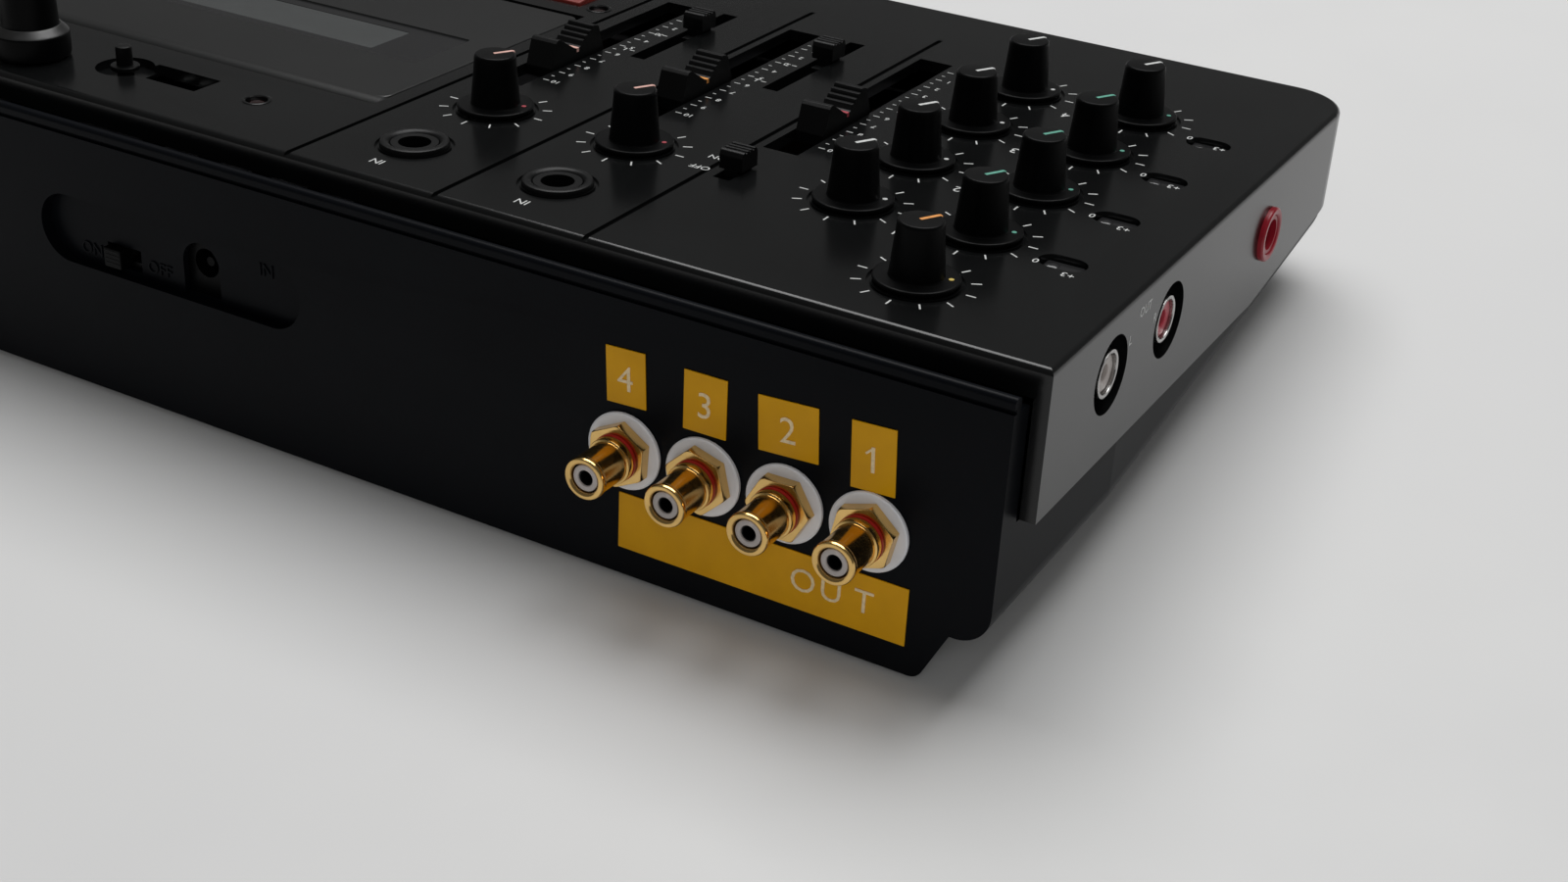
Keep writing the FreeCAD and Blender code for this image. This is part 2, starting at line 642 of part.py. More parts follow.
hubs = [("supply_hub", size.lid_left + size.lid_width / 2 - size.hub_pitch / 2),
        ("take_up_hub", size.lid_left + size.lid_width / 2 + size.hub_pitch / 2)]
counter_y = -size.counter_rear - size.counter_width / 2
counter_mid = size.counter_left + size.counter_length / 2
reset_x = size.counter_left + size.counter_length + size.reset_gap
wheels = [("counter_wheel_%d" % (n + 1), counter_mid + size.wheel_pitch * (n - 1)) for n in range(3)]
rear_face = size.rear_rise
wall_inside = size.rear_rise - size.rear_wall


def make_top_shell():
    """Panel, side and front walls and rear band in one moulding, with the posts inside."""
    body = new_body("top_shell")
    sketch = new_sketch(body, "XY_Plane")
    rectangle(sketch, 0, size.case_width, front, 0)
    pad(body, sketch, size.side_drop, reverse=True)
    fillet(body, size.plan_round, lambda edge: upright(edge) and edge.BoundBox.YMin < -1)
    fillet(body, size.edge_round, lambda edge: near(edge.BoundBox.ZMin, 0) and near(edge.BoundBox.ZMax, 0))

    sketch = new_sketch(body, "XY_Plane", -size.panel_thick)
    tub(sketch, size.wall_thick, size.case_width - size.wall_thick,
        front + size.wall_thick, -size.band_thick, size.plan_round - size.wall_thick)
    pocket(body, sketch)

    sketch = new_sketch(body, "YZ_Plane")
    beyond = front - 5
    polygon(sketch, [(side_knee, -size.side_drop), (beyond, rim(beyond)),
                     (beyond, -size.side_drop - 5), (side_knee, -size.side_drop - 5)])
    pocket(body, sketch, both=True)

    sketch = new_sketch(body, "XY_Plane", -size.rear_band)
    rectangle(sketch, size.wall_thick, size.case_width - size.wall_thick, -size.band_thick - 1, 1)
    pocket(body, sketch)

    sketch = new_sketch(body, "XY_Plane")
    for groove in (size.groove_first, size.groove_second, size.groove_third):
        rectangle(sketch, groove - size.groove_width / 2, groove + size.groove_width / 2,
                  -size.groove_end, 1)
    pocket(body, sketch, size.groove_depth)

    sketch = new_sketch(body, "XY_Plane")
    circle(sketch, reset_x, -size.reset_y, size.reset_dish)
    pocket(body, sketch, size.reset_dish_depth)

    sketch = new_sketch(body, "XY_Plane")
    rings = [(across, along, size.skirt_radius) for _, across, along in knob_places]
    rings += [(across, rows[0], size.jack_nut) for across in strips]
    for across, along, radius in rings:
        circle(sketch, across, along, radius + size.moat_gap)
        circle(sketch, across, along, radius + size.moat_gap + size.moat_width)
    pocket(body, sketch, size.moat_depth)

    sketch = new_sketch(body, "XY_Plane")
    for _, across, along in knob_places + [("pitch", size.pitch_x, -size.pitch_y)]:
        circle(sketch, across, along, size.bushing_radius + size.hole_play)
    for across in strips:
        circle(sketch, across, rows[0], size.jack_bushing + size.hole_play)
    for across in [place[1] for place in fader_places]:
        rectangle(sketch, across - size.fader_width / 2, across + size.fader_width / 2,
                  -size.fader_rear - size.fader_length, -size.fader_rear)
    for across in sliders:
        rectangle(sketch, across - size.slider_width / 2, across + size.slider_width / 2,
                  -size.slider_rear - size.slider_length, -size.slider_rear)
    rectangle(sketch, size.noise_x - size.slider_width / 2, size.noise_x + size.slider_width / 2,
              -size.noise_rear - size.noise_length, -size.noise_rear)
    for along in meters:
        capsule(sketch, size.meter_x, along, size.meter_length, size.meter_width)
    circle(sketch, size.power_light_x, -size.power_light_y, size.light_radius + size.hole_play)
    circle(sketch, size.record_light_x, -size.record_light_y, size.light_radius + size.hole_play)
    circle(sketch, reset_x, -size.reset_y, size.reset_radius + size.shaft_play)
    rectangle(sketch, size.lid_left - size.lid_gap, lid_right + size.lid_gap,
              lid_front - size.lid_front_gap, -size.lid_rear + size.lid_gap)
    rectangle(sketch, keys[0] - size.key_gap, keys_right + size.key_gap,
              key_front - size.key_front_gap, -size.key_rear + size.key_gap)
    pocket(body, sketch, size.panel_thick + 1)

    sketch = new_sketch(body, "XY_Plane")
    rectangle(sketch, size.counter_left, size.counter_left + size.counter_length,
              -size.counter_rear - size.counter_width, -size.counter_rear)
    pocket(body, sketch, size.panel_thick + 1)

    sketch = new_sketch(body, "YZ_Plane")
    for along in line_outs:
        circle(sketch, along, -size.line_drop, size.line_hole)
    circle(sketch, -size.remote_y, -size.remote_drop, size.remote_bushing + size.hole_play)
    pocket(body, sketch, size.wall_thick + 1, reverse=True)

    for drop in (size.split_rear, size.split_front):
        sketch = new_sketch(body, "XY_Plane", -size.panel_thick)
        for across, along, split in screws:
            if split is drop:
                circle(sketch, across, along, size.post_radius)
        pad(body, sketch, drop - size.panel_thick - 0.1, reverse=True)
        sketch = new_sketch(body, "XY_Plane", -drop)
        for across, along, split in screws:
            if split is drop:
                circle(sketch, across, along, size.screw_radius + size.shaft_play / 2)
        pocket(body, sketch, size.screw_grip + 1, reverse=True)
    for stays, drop in ((board_stays, size.board_drop), (deck_stays, size.deck_drop)):
        sketch = new_sketch(body, "XY_Plane", -size.panel_thick)
        for across, along in stays:
            circle(sketch, across, along, size.stay_radius)
        pad(body, sketch, drop - size.panel_thick, reverse=True)
    keep(body, "top_shell")


def make_bottom_shell():
    """Rear panel, sloped belly and keel in one moulding, open on top."""
    body = new_body("bottom_shell")
    sketch = new_sketch(body, "XY_Plane", -size.bead_drop)
    right = size.case_width - size.belly_inset
    polygon(sketch, [(size.panel_inset, rear_face), (size.belly_inset, -size.flare_length),
                     (size.belly_inset, floor_front), (right, floor_front),
                     (right, -size.flare_length), (size.case_width - size.panel_inset, rear_face)])
    pad(body, sketch, size.keel_drop, reverse=True)
    fillet(body, size.plan_round - size.belly_inset,
           lambda edge: upright(edge) and near(edge.BoundBox.YMin, floor_front.number))

    beyond, behind = front - 5, rear_face + 5
    low = -size.keel_drop * 1.5
    sketch = new_sketch(body, "YZ_Plane")
    polygon(sketch, [(behind, belly(behind)), (beyond, belly(beyond)), (beyond, low), (behind, low)])
    pocket(body, sketch, both=True)
    rear = rear_face.number

    def on_belly(edge):
        ends = [vertex.Point for vertex in edge.Vertexes]
        on_plane = all(near(end.z, -size.belly_drop.number - slope.number * end.y) for end in ends)
        return on_plane and not all(near(end.y, rear) for end in ends)
    fillet(body, size.belly_round, on_belly)

    # the keel runs parallel to the table
    sketch = new_sketch(body, "XZ_Plane", -rear_face)
    top = belly(rear_face) + size.tray_floor + 0.5
    bottom = keel(rear_face)
    top_inset = size.keel_inset - size.keel_draft * (top - belly(rear_face))
    bottom_inset = size.keel_inset + size.keel_draft * (belly(rear_face) - bottom)
    polygon(sketch, [(top_inset, top), (bottom_inset, bottom),
                     (size.case_width - bottom_inset, bottom), (size.case_width - top_inset, top)])
    feature = body.newObject("PartDesign::Pad", "Keel")
    feature.Profile = sketch
    feature.UseCustomVector = True
    feature.Direction = Vector(0, -1, slope.number)
    feature.setExpression("Direction.z", slope.formula)
    feature.AlongSketchNormal = True
    feature.setExpression("Length", size.keel_length.formula)
    doc.recompute()
    low_point = bottom.number

    def keel_bottom(edge):
        ends = [vertex.Point for vertex in edge.Vertexes]
        return len(ends) == 2 and near(ends[0].x, ends[1].x) and all(
            near(end.z, -size.keel_drop.number - slope.number * end.y) for end in ends)
    fillet(body, size.keel_round, keel_bottom)
    if body.Shape.BoundBox.ZMin > low_point + 1:
        raise RuntimeError("the keel is missing")

    # the upper shell's room, in front of the rear panel and above the parting line
    gap = size.shell_gap
    knee = (size.side_drop + gap - (size.rim_drop + gap)) / slope
    sketch = new_sketch(body, "YZ_Plane")
    ledge = -size.bead_drop - size.bead_height - size.bead_groove
    polygon(sketch, [(rear_face - size.bead_width, 0), (rear_face - size.bead_width, ledge), (gap, ledge),
                     (gap, -size.side_drop - gap), (knee, -size.side_drop - gap),
                     (beyond, rim(beyond) - gap), (beyond, 0)])
    pocket(body, sketch, both=True)

    # the hollow, first for the whole length and then wider before the flare
    inner_front = floor_front + size.tray_wall
    rounding = size.plan_round + size.tray_wall
    hollows = [(size.panel_inset + size.tray_wall, wall_inside, inner_front),
               (size.belly_inset + size.tray_wall, -size.flare_length, front + rounding)]
    for inset, y_rear, y_front in hollows:
        sketch = new_sketch(body, "YZ_Plane", inset)
        polygon(sketch, [(y_rear, 0), (y_rear, belly(y_rear) + size.tray_floor),
                         (y_front, belly(y_front) + size.tray_floor), (y_front, 0)])
        pocket(body, sketch, size.case_width - inset * 2, reverse=True)
    inset = bottom_inset + size.keel_round + size.tray_wall
    keel_front = rear_face - size.keel_length + size.tray_wall
    sketch = new_sketch(body, "YZ_Plane", inset)
    polygon(sketch, [(wall_inside, belly(wall_inside) + size.tray_floor + 1),
                     (wall_inside, keel(wall_inside) + size.tray_floor),
                     (keel_front, keel(keel_front) + size.tray_floor),
                     (keel_front, belly(keel_front) + size.tray_floor + 1)])
    pocket(body, sketch, size.case_width - inset * 2, reverse=True)

    # bead and its groove
    rim_z = -size.bead_drop.number
    fillet(body, size.bead_round, lambda edge: near(edge.BoundBox.ZMin, rim_z)
           and near(edge.BoundBox.ZMax, rim_z) and near(edge.BoundBox.YLength, 0))
    sketch = new_sketch(body, "YZ_Plane")
    rectangle(sketch, rear_face - size.groove_depth, rear_face + 1,
              -size.bead_drop - size.bead_height - size.bead_groove, -size.bead_drop - size.bead_height)
    pocket(body, sketch, both=True)

    # power recess, its windows and the holes of the tape out jacks
    sketch = new_sketch(body, "XZ_Plane", -rear_face)
    capsule(sketch, size.recess_x, -size.recess_drop, size.recess_length, size.recess_height)
    pocket(body, sketch, size.recess_depth, reverse=True)
    sketch = new_sketch(body, "XZ_Plane", -rear_face)
    for across in tape_jacks:
        circle(sketch, across, -size.tape_drop, size.tape_shank + size.hole_play)
    rectangle(sketch, size.power_x - size.power_window / 2, size.power_x + size.power_window / 2,
              -size.power_drop - size.power_height / 2, -size.power_drop + size.power_height / 2)
    rectangle(sketch, size.supply_x - size.supply_width / 2, size.supply_x + size.supply_width / 2,
              -size.supply_drop - size.supply_tail, -size.supply_drop)
    pocket(body, sketch, size.rear_wall + 1, reverse=True)
    sketch = new_sketch(body, "XZ_Plane", -rear_face)
    circle(sketch, size.supply_x, -size.supply_drop, size.supply_width / 2)
    pocket(body, sketch, size.rear_wall + 1, reverse=True)

    # screw wells
    outer = size.well_radius + size.well_wall
    for drop, underside in ((size.split_rear, keel(-size.screw_rear)),
                            (size.split_front, belly(-size.screw_front))):
        chosen = [(across, along) for across, along, split in screws if split is drop]
        floor = underside + size.tray_floor / 2 + slope * outer / 2
        sketch = new_sketch(body, "XY_Plane", -drop)
        for across, along in chosen:
            circle(sketch, across, along, outer)
        pad(body, sketch, -floor - drop, reverse=True)
        sketch = new_sketch(body, "XY_Plane", -drop - size.web_thick)
        for across, along in chosen:
            circle(sketch, across, along, size.well_radius)
        pocket(body, sketch)
        sketch = new_sketch(body, "XY_Plane", -drop + 0.1)
        for across, along in chosen:
            circle(sketch, across, along, size.screw_radius + size.hole_play)
        pocket(body, sketch, size.web_thick + 1)
    keep(body, "bottom_shell")


def make_feet():
    """Four rubber feet, square to the table, on the keel's bottom."""
    feet = []
    upright_turn = Rotation(Vector(1, 0, 0), -size.tilt_angle.number)
    drop = size.foot_height * math.cos(math.radians(size.tilt_angle.number))
    back = size.foot_height * math.sin(math.radians(size.tilt_angle.number))
    for number in range(4):
        across = size.foot_inset if number % 2 == 0 else size.case_width - size.foot_inset
        along = -size.foot_rear if number < 2 else -size.foot_rear - size.foot_span
        foot = doc.addObject("Part::Cylinder", "foot")
        foot.setExpression("Radius", size.foot_radius.formula)
        foot.setExpression("Height", size.foot_height.formula)
        foot.Placement = Placement(Vector(), upright_turn)
        feet.append(place(foot, across, along - back, keel(along) - drop))
    group("rubber_feet", feet)


def make_screws():
    items = []
    for across, along, split in screws:
        seat = -split - size.web_thick
        head = rod("screw_head", "z", across, along, seat - size.screw_head_thick,
                   size.screw_head, size.screw_head_thick)
        shank = rod("screw_shank", "z", across, along, seat, size.screw_radius,
                    size.web_thick + size.screw_grip)
        items.append(fuse("screw", head, shank))
    group("shell_screws", items)


def make_board():
    low, high = -size.board_drop - size.board_thick, -size.board_drop
    wide = box("board_left", size.board_side, size.board_corner, -size.board_front, -size.board_rear,
               low, high)
    narrow = box("board_right", size.board_corner - 1, size.board_right, -size.board_front,
                 -size.board_step, low, high)
    group("mixer_board", [fuse("board", wide, narrow)])


def make_pots():
    """The bodies of the turning controls, each with a bored bushing up through the panel."""
    items = []
    for name, across, along in knob_places + [("pitch", size.pitch_x, -size.pitch_y)]:
        base = -size.deck_drop if name == "pitch" else -size.board_drop
        half = size.pot_size / 2
        can = box("pot_can", across - half, across + half, along - half, along + half,
                  base, base + size.pot_height)
        bushing = rod("pot_bushing", "z", across, along, base + size.pot_height - 1,
                      size.bushing_radius, -base - size.pot_height + 1 - 0.2)
        bore = rod("pot_bore", "z", across, along, base + 2, size.shaft_radius + size.shaft_play,
                   -base)
        items.append(cut("pot", fuse("pot_outside", can, bushing), bore))
    group("control_pots", items)


def make_knob(label, across, along):
    """A turned knob: straight top, concave flare and thin skirt, with an index line."""
    body = new_body(label + "_cap")
    sketch = new_sketch(body, "XZ_Plane")
    lift, flare_top = size.knob_lift, size.knob_height * 0.55
    skirt_top = lift + size.skirt_thick
    polygon(sketch, [(0, lift), (size.skirt_radius, lift), (size.skirt_radius, lift + size.skirt_thick / 2),
                     (size.skirt_radius - 0.7, skirt_top), (size.knob_flare, skirt_top + 0.3),
                     ((size.knob_flare + size.knob_radius) / 2 - 0.25, (skirt_top + flare_top) / 2),
                     (size.knob_radius + 0.12, flare_top), (size.knob_radius, size.knob_height - 0.4),
                     (size.knob_radius - 0.4, size.knob_height), (0, size.knob_height)])
    revolve(body, sketch)
    sketch = new_sketch(body, "XY_Plane", lift)
    circle(sketch, 0, 0, size.shaft_radius + size.shaft_play / 2)
    pocket(body, sketch, size.knob_bore, reverse=True)
    sketch = new_sketch(body, "XY_Plane", size.knob_height)
    rectangle(sketch, -size.index_width / 2, size.index_width / 2,
              -size.knob_radius - 1, -size.knob_radius * 0.1)
    pocket(body, sketch, size.index_depth)
    body.Placement = Placement(Vector(), Rotation(Vector(0, 0, 1), -size.knob_turn.number))
    place(body, across, along, 0)
    shaft_low = -size.board_drop + 3
    shaft = rod(label + "_shaft", "z", across, along, shaft_low, size.shaft_radius,
                size.knob_lift + size.knob_bore - shaft_low - 0.2)
    group(label, [body, shaft])


def make_pitch_knob():
    body = new_body("pitch_knob_cap")
    sketch = new_sketch(body, "XZ_Plane")
    lift, ring = size.knob_lift, size.collar_height
    bevel = ring + size.collar_bevel
    polygon(sketch, [(0, lift), (size.collar_radius - 0.4, lift), (size.collar_radius, lift + 0.4),
                     (size.collar_radius, ring - 0.4), (size.collar_radius - 0.4, ring),
                     (size.pitch_radius + 0.3, bevel), (size.pitch_radius, bevel),
                     (size.pitch_top, size.pitch_height - 0.8), (size.pitch_top - 0.8, size.pitch_height),
                     (0, size.pitch_height)])
    revolve(body, sketch)
    sketch = new_sketch(body, "XY_Plane", lift)
    circle(sketch, 0, 0, size.shaft_radius + size.shaft_play / 2)
    pocket(body, sketch, size.knob_bore, reverse=True)
    sketch = new_sketch(body, "XY_Plane", size.pitch_height)
    rectangle(sketch, -size.index_width / 2, size.index_width / 2,
              -size.pitch_top - 1, -size.pitch_top * 0.1)
    pocket(body, sketch, size.index_depth)
    place(body, size.pitch_x, -size.pitch_y, 0)
    shaft_low = -size.deck_drop + 3
    shaft = rod("pitch_knob_shaft", "z", size.pitch_x, -size.pitch_y, shaft_low, size.shaft_radius,
                size.knob_lift + size.knob_bore - shaft_low - 0.2)
    group("pitch_knob", [body, shaft])


def make_fader(label, across):
    """A dished cap on a flat stem that reaches into the fader's body."""
    body = new_body(label)
    half = size.cap_length / 2
    sketch = new_sketch(body, "YZ_Plane", across - size.cap_width / 2)
    middle_y = -size.fader_rest
    edge = half - size.cap_lean
    profile = [(-half, -size.cap_foot), (half, -size.cap_foot), (half, 0), (edge, size.cap_height),
               (edge - 1.2, size.cap_height), (0.7, size.cap_dish), (-0.7, size.cap_dish),
               (1.2 - edge, size.cap_height), (-edge, size.cap_height), (-half, 0)]
    polygon(sketch, [(middle_y + y, z) for y, z in profile])
    pad(body, sketch, size.cap_width)
    sketch = new_sketch(body, "XY_Plane", -size.cap_foot)
    rectangle(sketch, across - size.stem_width / 2, across + size.stem_width / 2,
              middle_y - size.stem_length / 2, middle_y + size.stem_length / 2)
    pad(body, sketch, size.stem_drop - size.cap_foot, reverse=True)
    keep(body, label)


def make_fader_bodies():
    items = []
    for _, across in fader_places:
        half = size.fader_body / 2
        front_y, rear_y = -size.fader_rear - size.fader_length, -size.fader_rear
        case = box("fader_case", across - half, across + half, front_y, rear_y,
                   -size.board_drop, -size.fader_top)
        slit = box("fader_slit", across - size.slit_width / 2, across + size.slit_width / 2,
                   front_y + 5, rear_y - 5, -size.stem_drop - 1, 0)
        items.append(cut("fader_block", case, slit))
    group("fader_bodies", items)


def make_slider(label, across, rest, shield):
    """A small button over the panel, a neck through its slot and a stem into the switch."""
    body = new_body(label)
    half = size.button_length / 2
    middle_y = -rest
    sketch = new_sketch(body, "YZ_Plane", across - size.button_width / 2)
    low, high = size.knob_lift, size.button_height
    profile = [(-half, low), (half, low), (half, high - 0.6), (half - 0.6, high), (0.6, high),
               (0, high - 0.5), (-0.6, high), (0.6 - half, high), (-half, high - 0.6)]
    polygon(sketch, [(middle_y + y, z) for y, z in profile])
    pad(body, sketch, size.button_width)
    neck = size.slider_width / 2 - 0.5
    sketch = new_sketch(body, "XY_Plane", low)
    rectangle(sketch, across - neck, across + neck, middle_y - half, middle_y + half)
    pad(body, sketch, low + 1.6, reverse=True)
    sketch = new_sketch(body, "XY_Plane", -1.6)
    rectangle(sketch, across - neck, across + neck, middle_y - shield, middle_y + shield)
    pad(body, sketch, 0.8)
    sketch = new_sketch(body, "XY_Plane", -1.6)
    rectangle(sketch, across - size.stem_width / 2, across + size.stem_width / 2,
              middle_y - size.stem_length / 2, middle_y + size.stem_length / 2)
    pad(body, sketch, size.stem_drop - 1.6, reverse=True)
    keep(body, label)


def make_power_switch():
    """A button that slides across in the power recess, on a stem into its body."""
    half = size.power_button / 2
    inner = wall_inside - 0.4
    middle_x = size.power_x + size.power_travel / 2
    button = box("power_button", middle_x - half, middle_x + half, inner, rear_face - 0.6,
                 -size.power_drop - size.power_height / 2 + 0.3,
                 -size.power_drop + size.power_height / 2 - 0.3)
    stem = box("power_stem", middle_x - 1, middle_x + 1, inner - 3, inner,
               -size.power_drop - 1, -size.power_drop + 1)
    group("power_switch", [fuse("power_slide", button, stem)])


def make_switch_bodies():
    items = []
    half = size.switch_body / 2
    long_slot = (-size.slider_rear - size.slider_length, -size.slider_rear)
    short_slot = (-size.noise_rear - size.noise_length, -size.noise_rear)
    spots = [(across, long_slot) for across in sliders] + [(size.noise_x, short_slot)]
    for across, (y_front, y_rear) in spots:
        case = box("switch_case", across - half, across + half, y_front - 2, y_rear + 2,
                   -size.board_drop, -size.switch_top)
        slit = box("switch_slit", across - size.slit_width / 2, across + size.slit_width / 2,
                   y_front, y_rear, -size.stem_drop - 1, 0)
        items.append(cut("switch_block", case, slit))
    back = wall_inside - 0.4
    reach = size.power_window
    case = box("power_case", size.power_x - reach, size.power_x + reach, back - 9, back - 0.2,
               -size.power_drop - 5, -size.power_drop + 5)
    slit = box("power_slit", size.power_x - 3.6, size.power_x + 3.6, back - 5, back + 1,
               -size.power_drop - 1.4, -size.power_drop + 1.4)
    items.append(cut("power_block", case, slit))
    group("slide_switch_bodies", items)


def make_input_jacks():
    bodies, nuts = [], []
    half = size.jack_body / 2
    for across in strips:
        case = box("jack_case", across - half, across + half, rows[0] - half, rows[0] + half,
                   -size.jack_depth - 1, -size.panel_thick)
        bushing = rod("jack_bushing", "z", across, rows[0], -size.panel_thick - 1,
                      size.jack_bushing, size.panel_thick + 1 + 0.6)
        bore = rod("jack_bore", "z", across, rows[0], -size.jack_depth + 0.6, size.jack_bore,
                   size.jack_depth + 1)
        bodies.append(cut("jack_body", fuse("jack_outside", case, bushing), bore))
        ring = rod("jack_ring", "z", across, rows[0], 0, size.jack_nut, size.jack_nut_thick)
        hole = rod("jack_hole", "z", across, rows[0], -1, size.jack_bushing + size.shaft_play / 2,
                   size.jack_nut_thick + 2)
        nuts.append(cut("jack_nut", ring, hole))
    group("input_jack_bodies", bodies)
    group("input_jack_nuts", nuts)


def make_line_outs():
    """Two phono sockets behind round windows in the left side wall."""
    sockets, inserts = [], []
    half = size.line_body / 2
    start = size.wall_thick + 0.3
    inner = size.line_barrel - size.phono_wall
    for along in line_outs:
        case = box("line_case", start, start + size.line_depth, along - half, along + half,
                   -size.line_drop - half, -size.line_drop + half)
        barrel = rod("line_barrel", "x", size.line_recess, along, -size.line_drop,
                     size.line_barrel, start)
        bore = rod("line_bore", "x", 0, along, -size.line_drop, inner, start + size.line_depth - 2)
        sockets.append(cut("line_socket", fuse("line_outside", case, barrel), bore))
        plug = rod("line_plug", "x", size.line_recess + 0.7, along, -size.line_drop, inner - 0.05,
                   start + size.line_depth - 2 - size.line_recess - 0.7)
        hole = rod("line_hole", "x", 0, along, -size.line_drop, size.phono_pin, start + size.line_depth - 4)
        inserts.append(cut("line_insert", plug, hole))
    group("line_out_sockets", sockets)
    group("line_out_inserts", inserts)


def make_remote_jack():
    half = size.remote_body / 2
    start = size.wall_thick
    rise = half + 0.7
    case = box("remote_case", start, start + size.remote_depth, -size.remote_y - half,
               -size.remote_y + half, -size.remote_drop - rise, -size.remote_drop + rise)
    bushing = rod("remote_bushing", "x", -size.remote_stand + 0.4, -size.remote_y, -size.remote_drop,
                  size.remote_bushing, start + size.remote_stand)
    bore = rod("remote_bore", "x", -size.remote_stand - 1, -size.remote_y, -size.remote_drop,
               size.jack_bore, size.remote_stand + start + size.remote_depth)
    group("remote_jack_body", [cut("remote_body", fuse("remote_outside", case, bushing), bore)])
    ring = rod("remote_ring", "x", -size.remote_stand, -size.remote_y, -size.remote_drop,
               size.remote_collar, size.remote_stand)
    hole = rod("remote_hole", "x", -size.remote_stand - 1, -size.remote_y, -size.remote_drop,
               size.remote_bushing + size.shaft_play / 2, size.remote_stand + 2)
    group("remote_jack_collar", [cut("remote_collar", ring, hole)])


def make_tape_jacks():
    """Four plated phono jacks on the rear panel: washer, nut, colour band, barrel and insert."""
    washers, nuts, bands, barrels, inserts = [], [], [], [], []
    washer_end = rear_face + size.tape_washer_thick
    nut_end = washer_end + size.tape_nut_thick
    band_end = nut_end + size.tape_band_thick
    tip = rear_face + size.tape_stand
    inner = size.phono_radius - size.phono_wall
    through = size.tape_shank + size.shaft_play / 2
    up = -size.tape_drop

    def ring(name, outside, start, end):
        hole = rod(name + "_hole", "y", across, start - 1, up, through, end - start + 2)
        return cut(name, outside, hole)
    for across in tape_jacks:
        washers.append(ring("tape_washer", rod("washer_disc", "y", across, rear_face, up, size.tape_washer,
                                               size.tape_washer_thick), rear_face, washer_end))
        nuts.append(ring("tape_nut", hexagon("nut_block", across, washer_end, up, size.tape_nut,
                                             size.tape_nut_thick), washer_end, nut_end))
        bands.append(ring("tape_band", rod("band_disc", "y", across, nut_end, up, size.tape_band,
                                           size.tape_band_thick), nut_end, band_end))
        shank = rod("tape_shank", "y", across, wall_inside - size.tape_inside, up, size.tape_shank,
                    band_end - wall_inside + size.tape_inside + 0.5)
        barrel = rod("tape_barrel", "y", across, band_end, up, size.phono_radius, tip - band_end)
        bore = rod("tape_bore", "y", across, band_end + 1, up, inner, size.tape_stand)
        barrels.append(cut("tape_jack", fuse("tape_outside", shank, barrel), bore))
        plug = rod("tape_plug", "y", across, band_end + 1, up, inner - 0.05, tip - band_end - 1 - 0.5)
        hole = rod("tape_hole", "y", across, band_end + 2, up, size.phono_pin, size.tape_stand)
        inserts.append(cut("tape_insert", plug, hole))
    group("tape_out_washers", washers)
    group("tape_out_nuts", nuts)
    group("tape_out_bands", bands)
    group("tape_out_barrels", barrels)
    group("tape_out_inserts", inserts)


def make_labels():
    items = []
    for across in tape_jacks:
        items.append(box("number_label", across - size.label_width / 2, across + size.label_width / 2,
                         rear_face, rear_face + size.label_thick,
                         -size.label_drop - size.label_height / 2, -size.label_drop + size.label_height / 2))
    items.append(box("long_label", size.strip_left, size.strip_left + size.strip_width,
                     rear_face, rear_face + size.label_thick,
                     -size.strip_drop - size.strip_height / 2, -size.strip_drop + size.strip_height / 2))
    group("tape_labels", items)


def make_supply_socket():
    half = size.supply_width / 2 + 1
    rear_y = wall_inside - 0.3
    case = box("supply_case", size.supply_x - half, size.supply_x + half, rear_y - size.socket_depth,
               rear_y, -size.supply_drop - size.supply_tail - 1, -size.supply_drop + half)
    bore = rod("supply_bore", "y", size.supply_x, rear_y - size.socket_depth + 2, -size.supply_drop,
               size.supply_bore, size.socket_depth)
    pin = rod("supply_pin", "y", size.supply_x, rear_y - size.socket_depth + 1, -size.supply_drop,
              size.supply_pin, size.socket_depth - 2)
    group("dc_socket", [fuse("supply", cut("supply_hollow", case, bore), pin)])


def make_lights():
    """Lights stand on the board or the deck plate and end in their windows."""
    meter_items, round_items = [], []
    slack = size.hole_play
    for along in meters:
        body = new_body("meter_light")
        sketch = new_sketch(body, "XY_Plane", -size.light_sink)
        capsule(sketch, size.meter_x, along, size.meter_length - slack * 2, size.meter_width - slack * 2)
        pad(body, sketch, size.panel_thick - size.light_sink + 0.5, reverse=True)
        sketch = new_sketch(body, "XY_Plane", -size.panel_thick)
        rectangle(sketch, size.meter_x - 2, size.meter_x + 2, along - 1.9, along + 0.5)
        pad(body, sketch, size.board_drop - size.panel_thick, reverse=True)
        meter_items.append(body)
    for across, along in ((size.power_light_x, size.power_light_y),
                          (size.record_light_x, size.record_light_y)):
        round_items.append(rod("round_light", "z", across, -along, -size.deck_drop, size.light_radius,
                               size.deck_drop - size.light_sink / 2))
    group("meter_leds", meter_items)
    group("indicator_leds", round_items)


def make_counter():
    for label, across in wheels:
        half = size.wheel_width / 2
        wheel = rod(label + "_disc", "x", across - half, counter_y, -size.wheel_drop,
                    size.wheel_radius, size.wheel_width)
        bore = rod(label + "_bore", "x", across - half - 1, counter_y, -size.wheel_drop,
                   size.axle_radius + size.shaft_play, size.wheel_width + 2)
        group(label, [cut(label + "_ring", wheel, bore)])
    lift = -size.reset_dish_depth * 0.25
    pin = rod("reset_pin", "z", reset_x, -size.reset_y, -size.wheel_drop, size.reset_radius,
              size.wheel_drop + size.reset_height)
    flange = rod("reset_plate", "z", reset_x, -size.reset_y, lift, size.reset_flange, 1)
    group("counter_reset_button", [fuse("reset_button", pin, flange)])


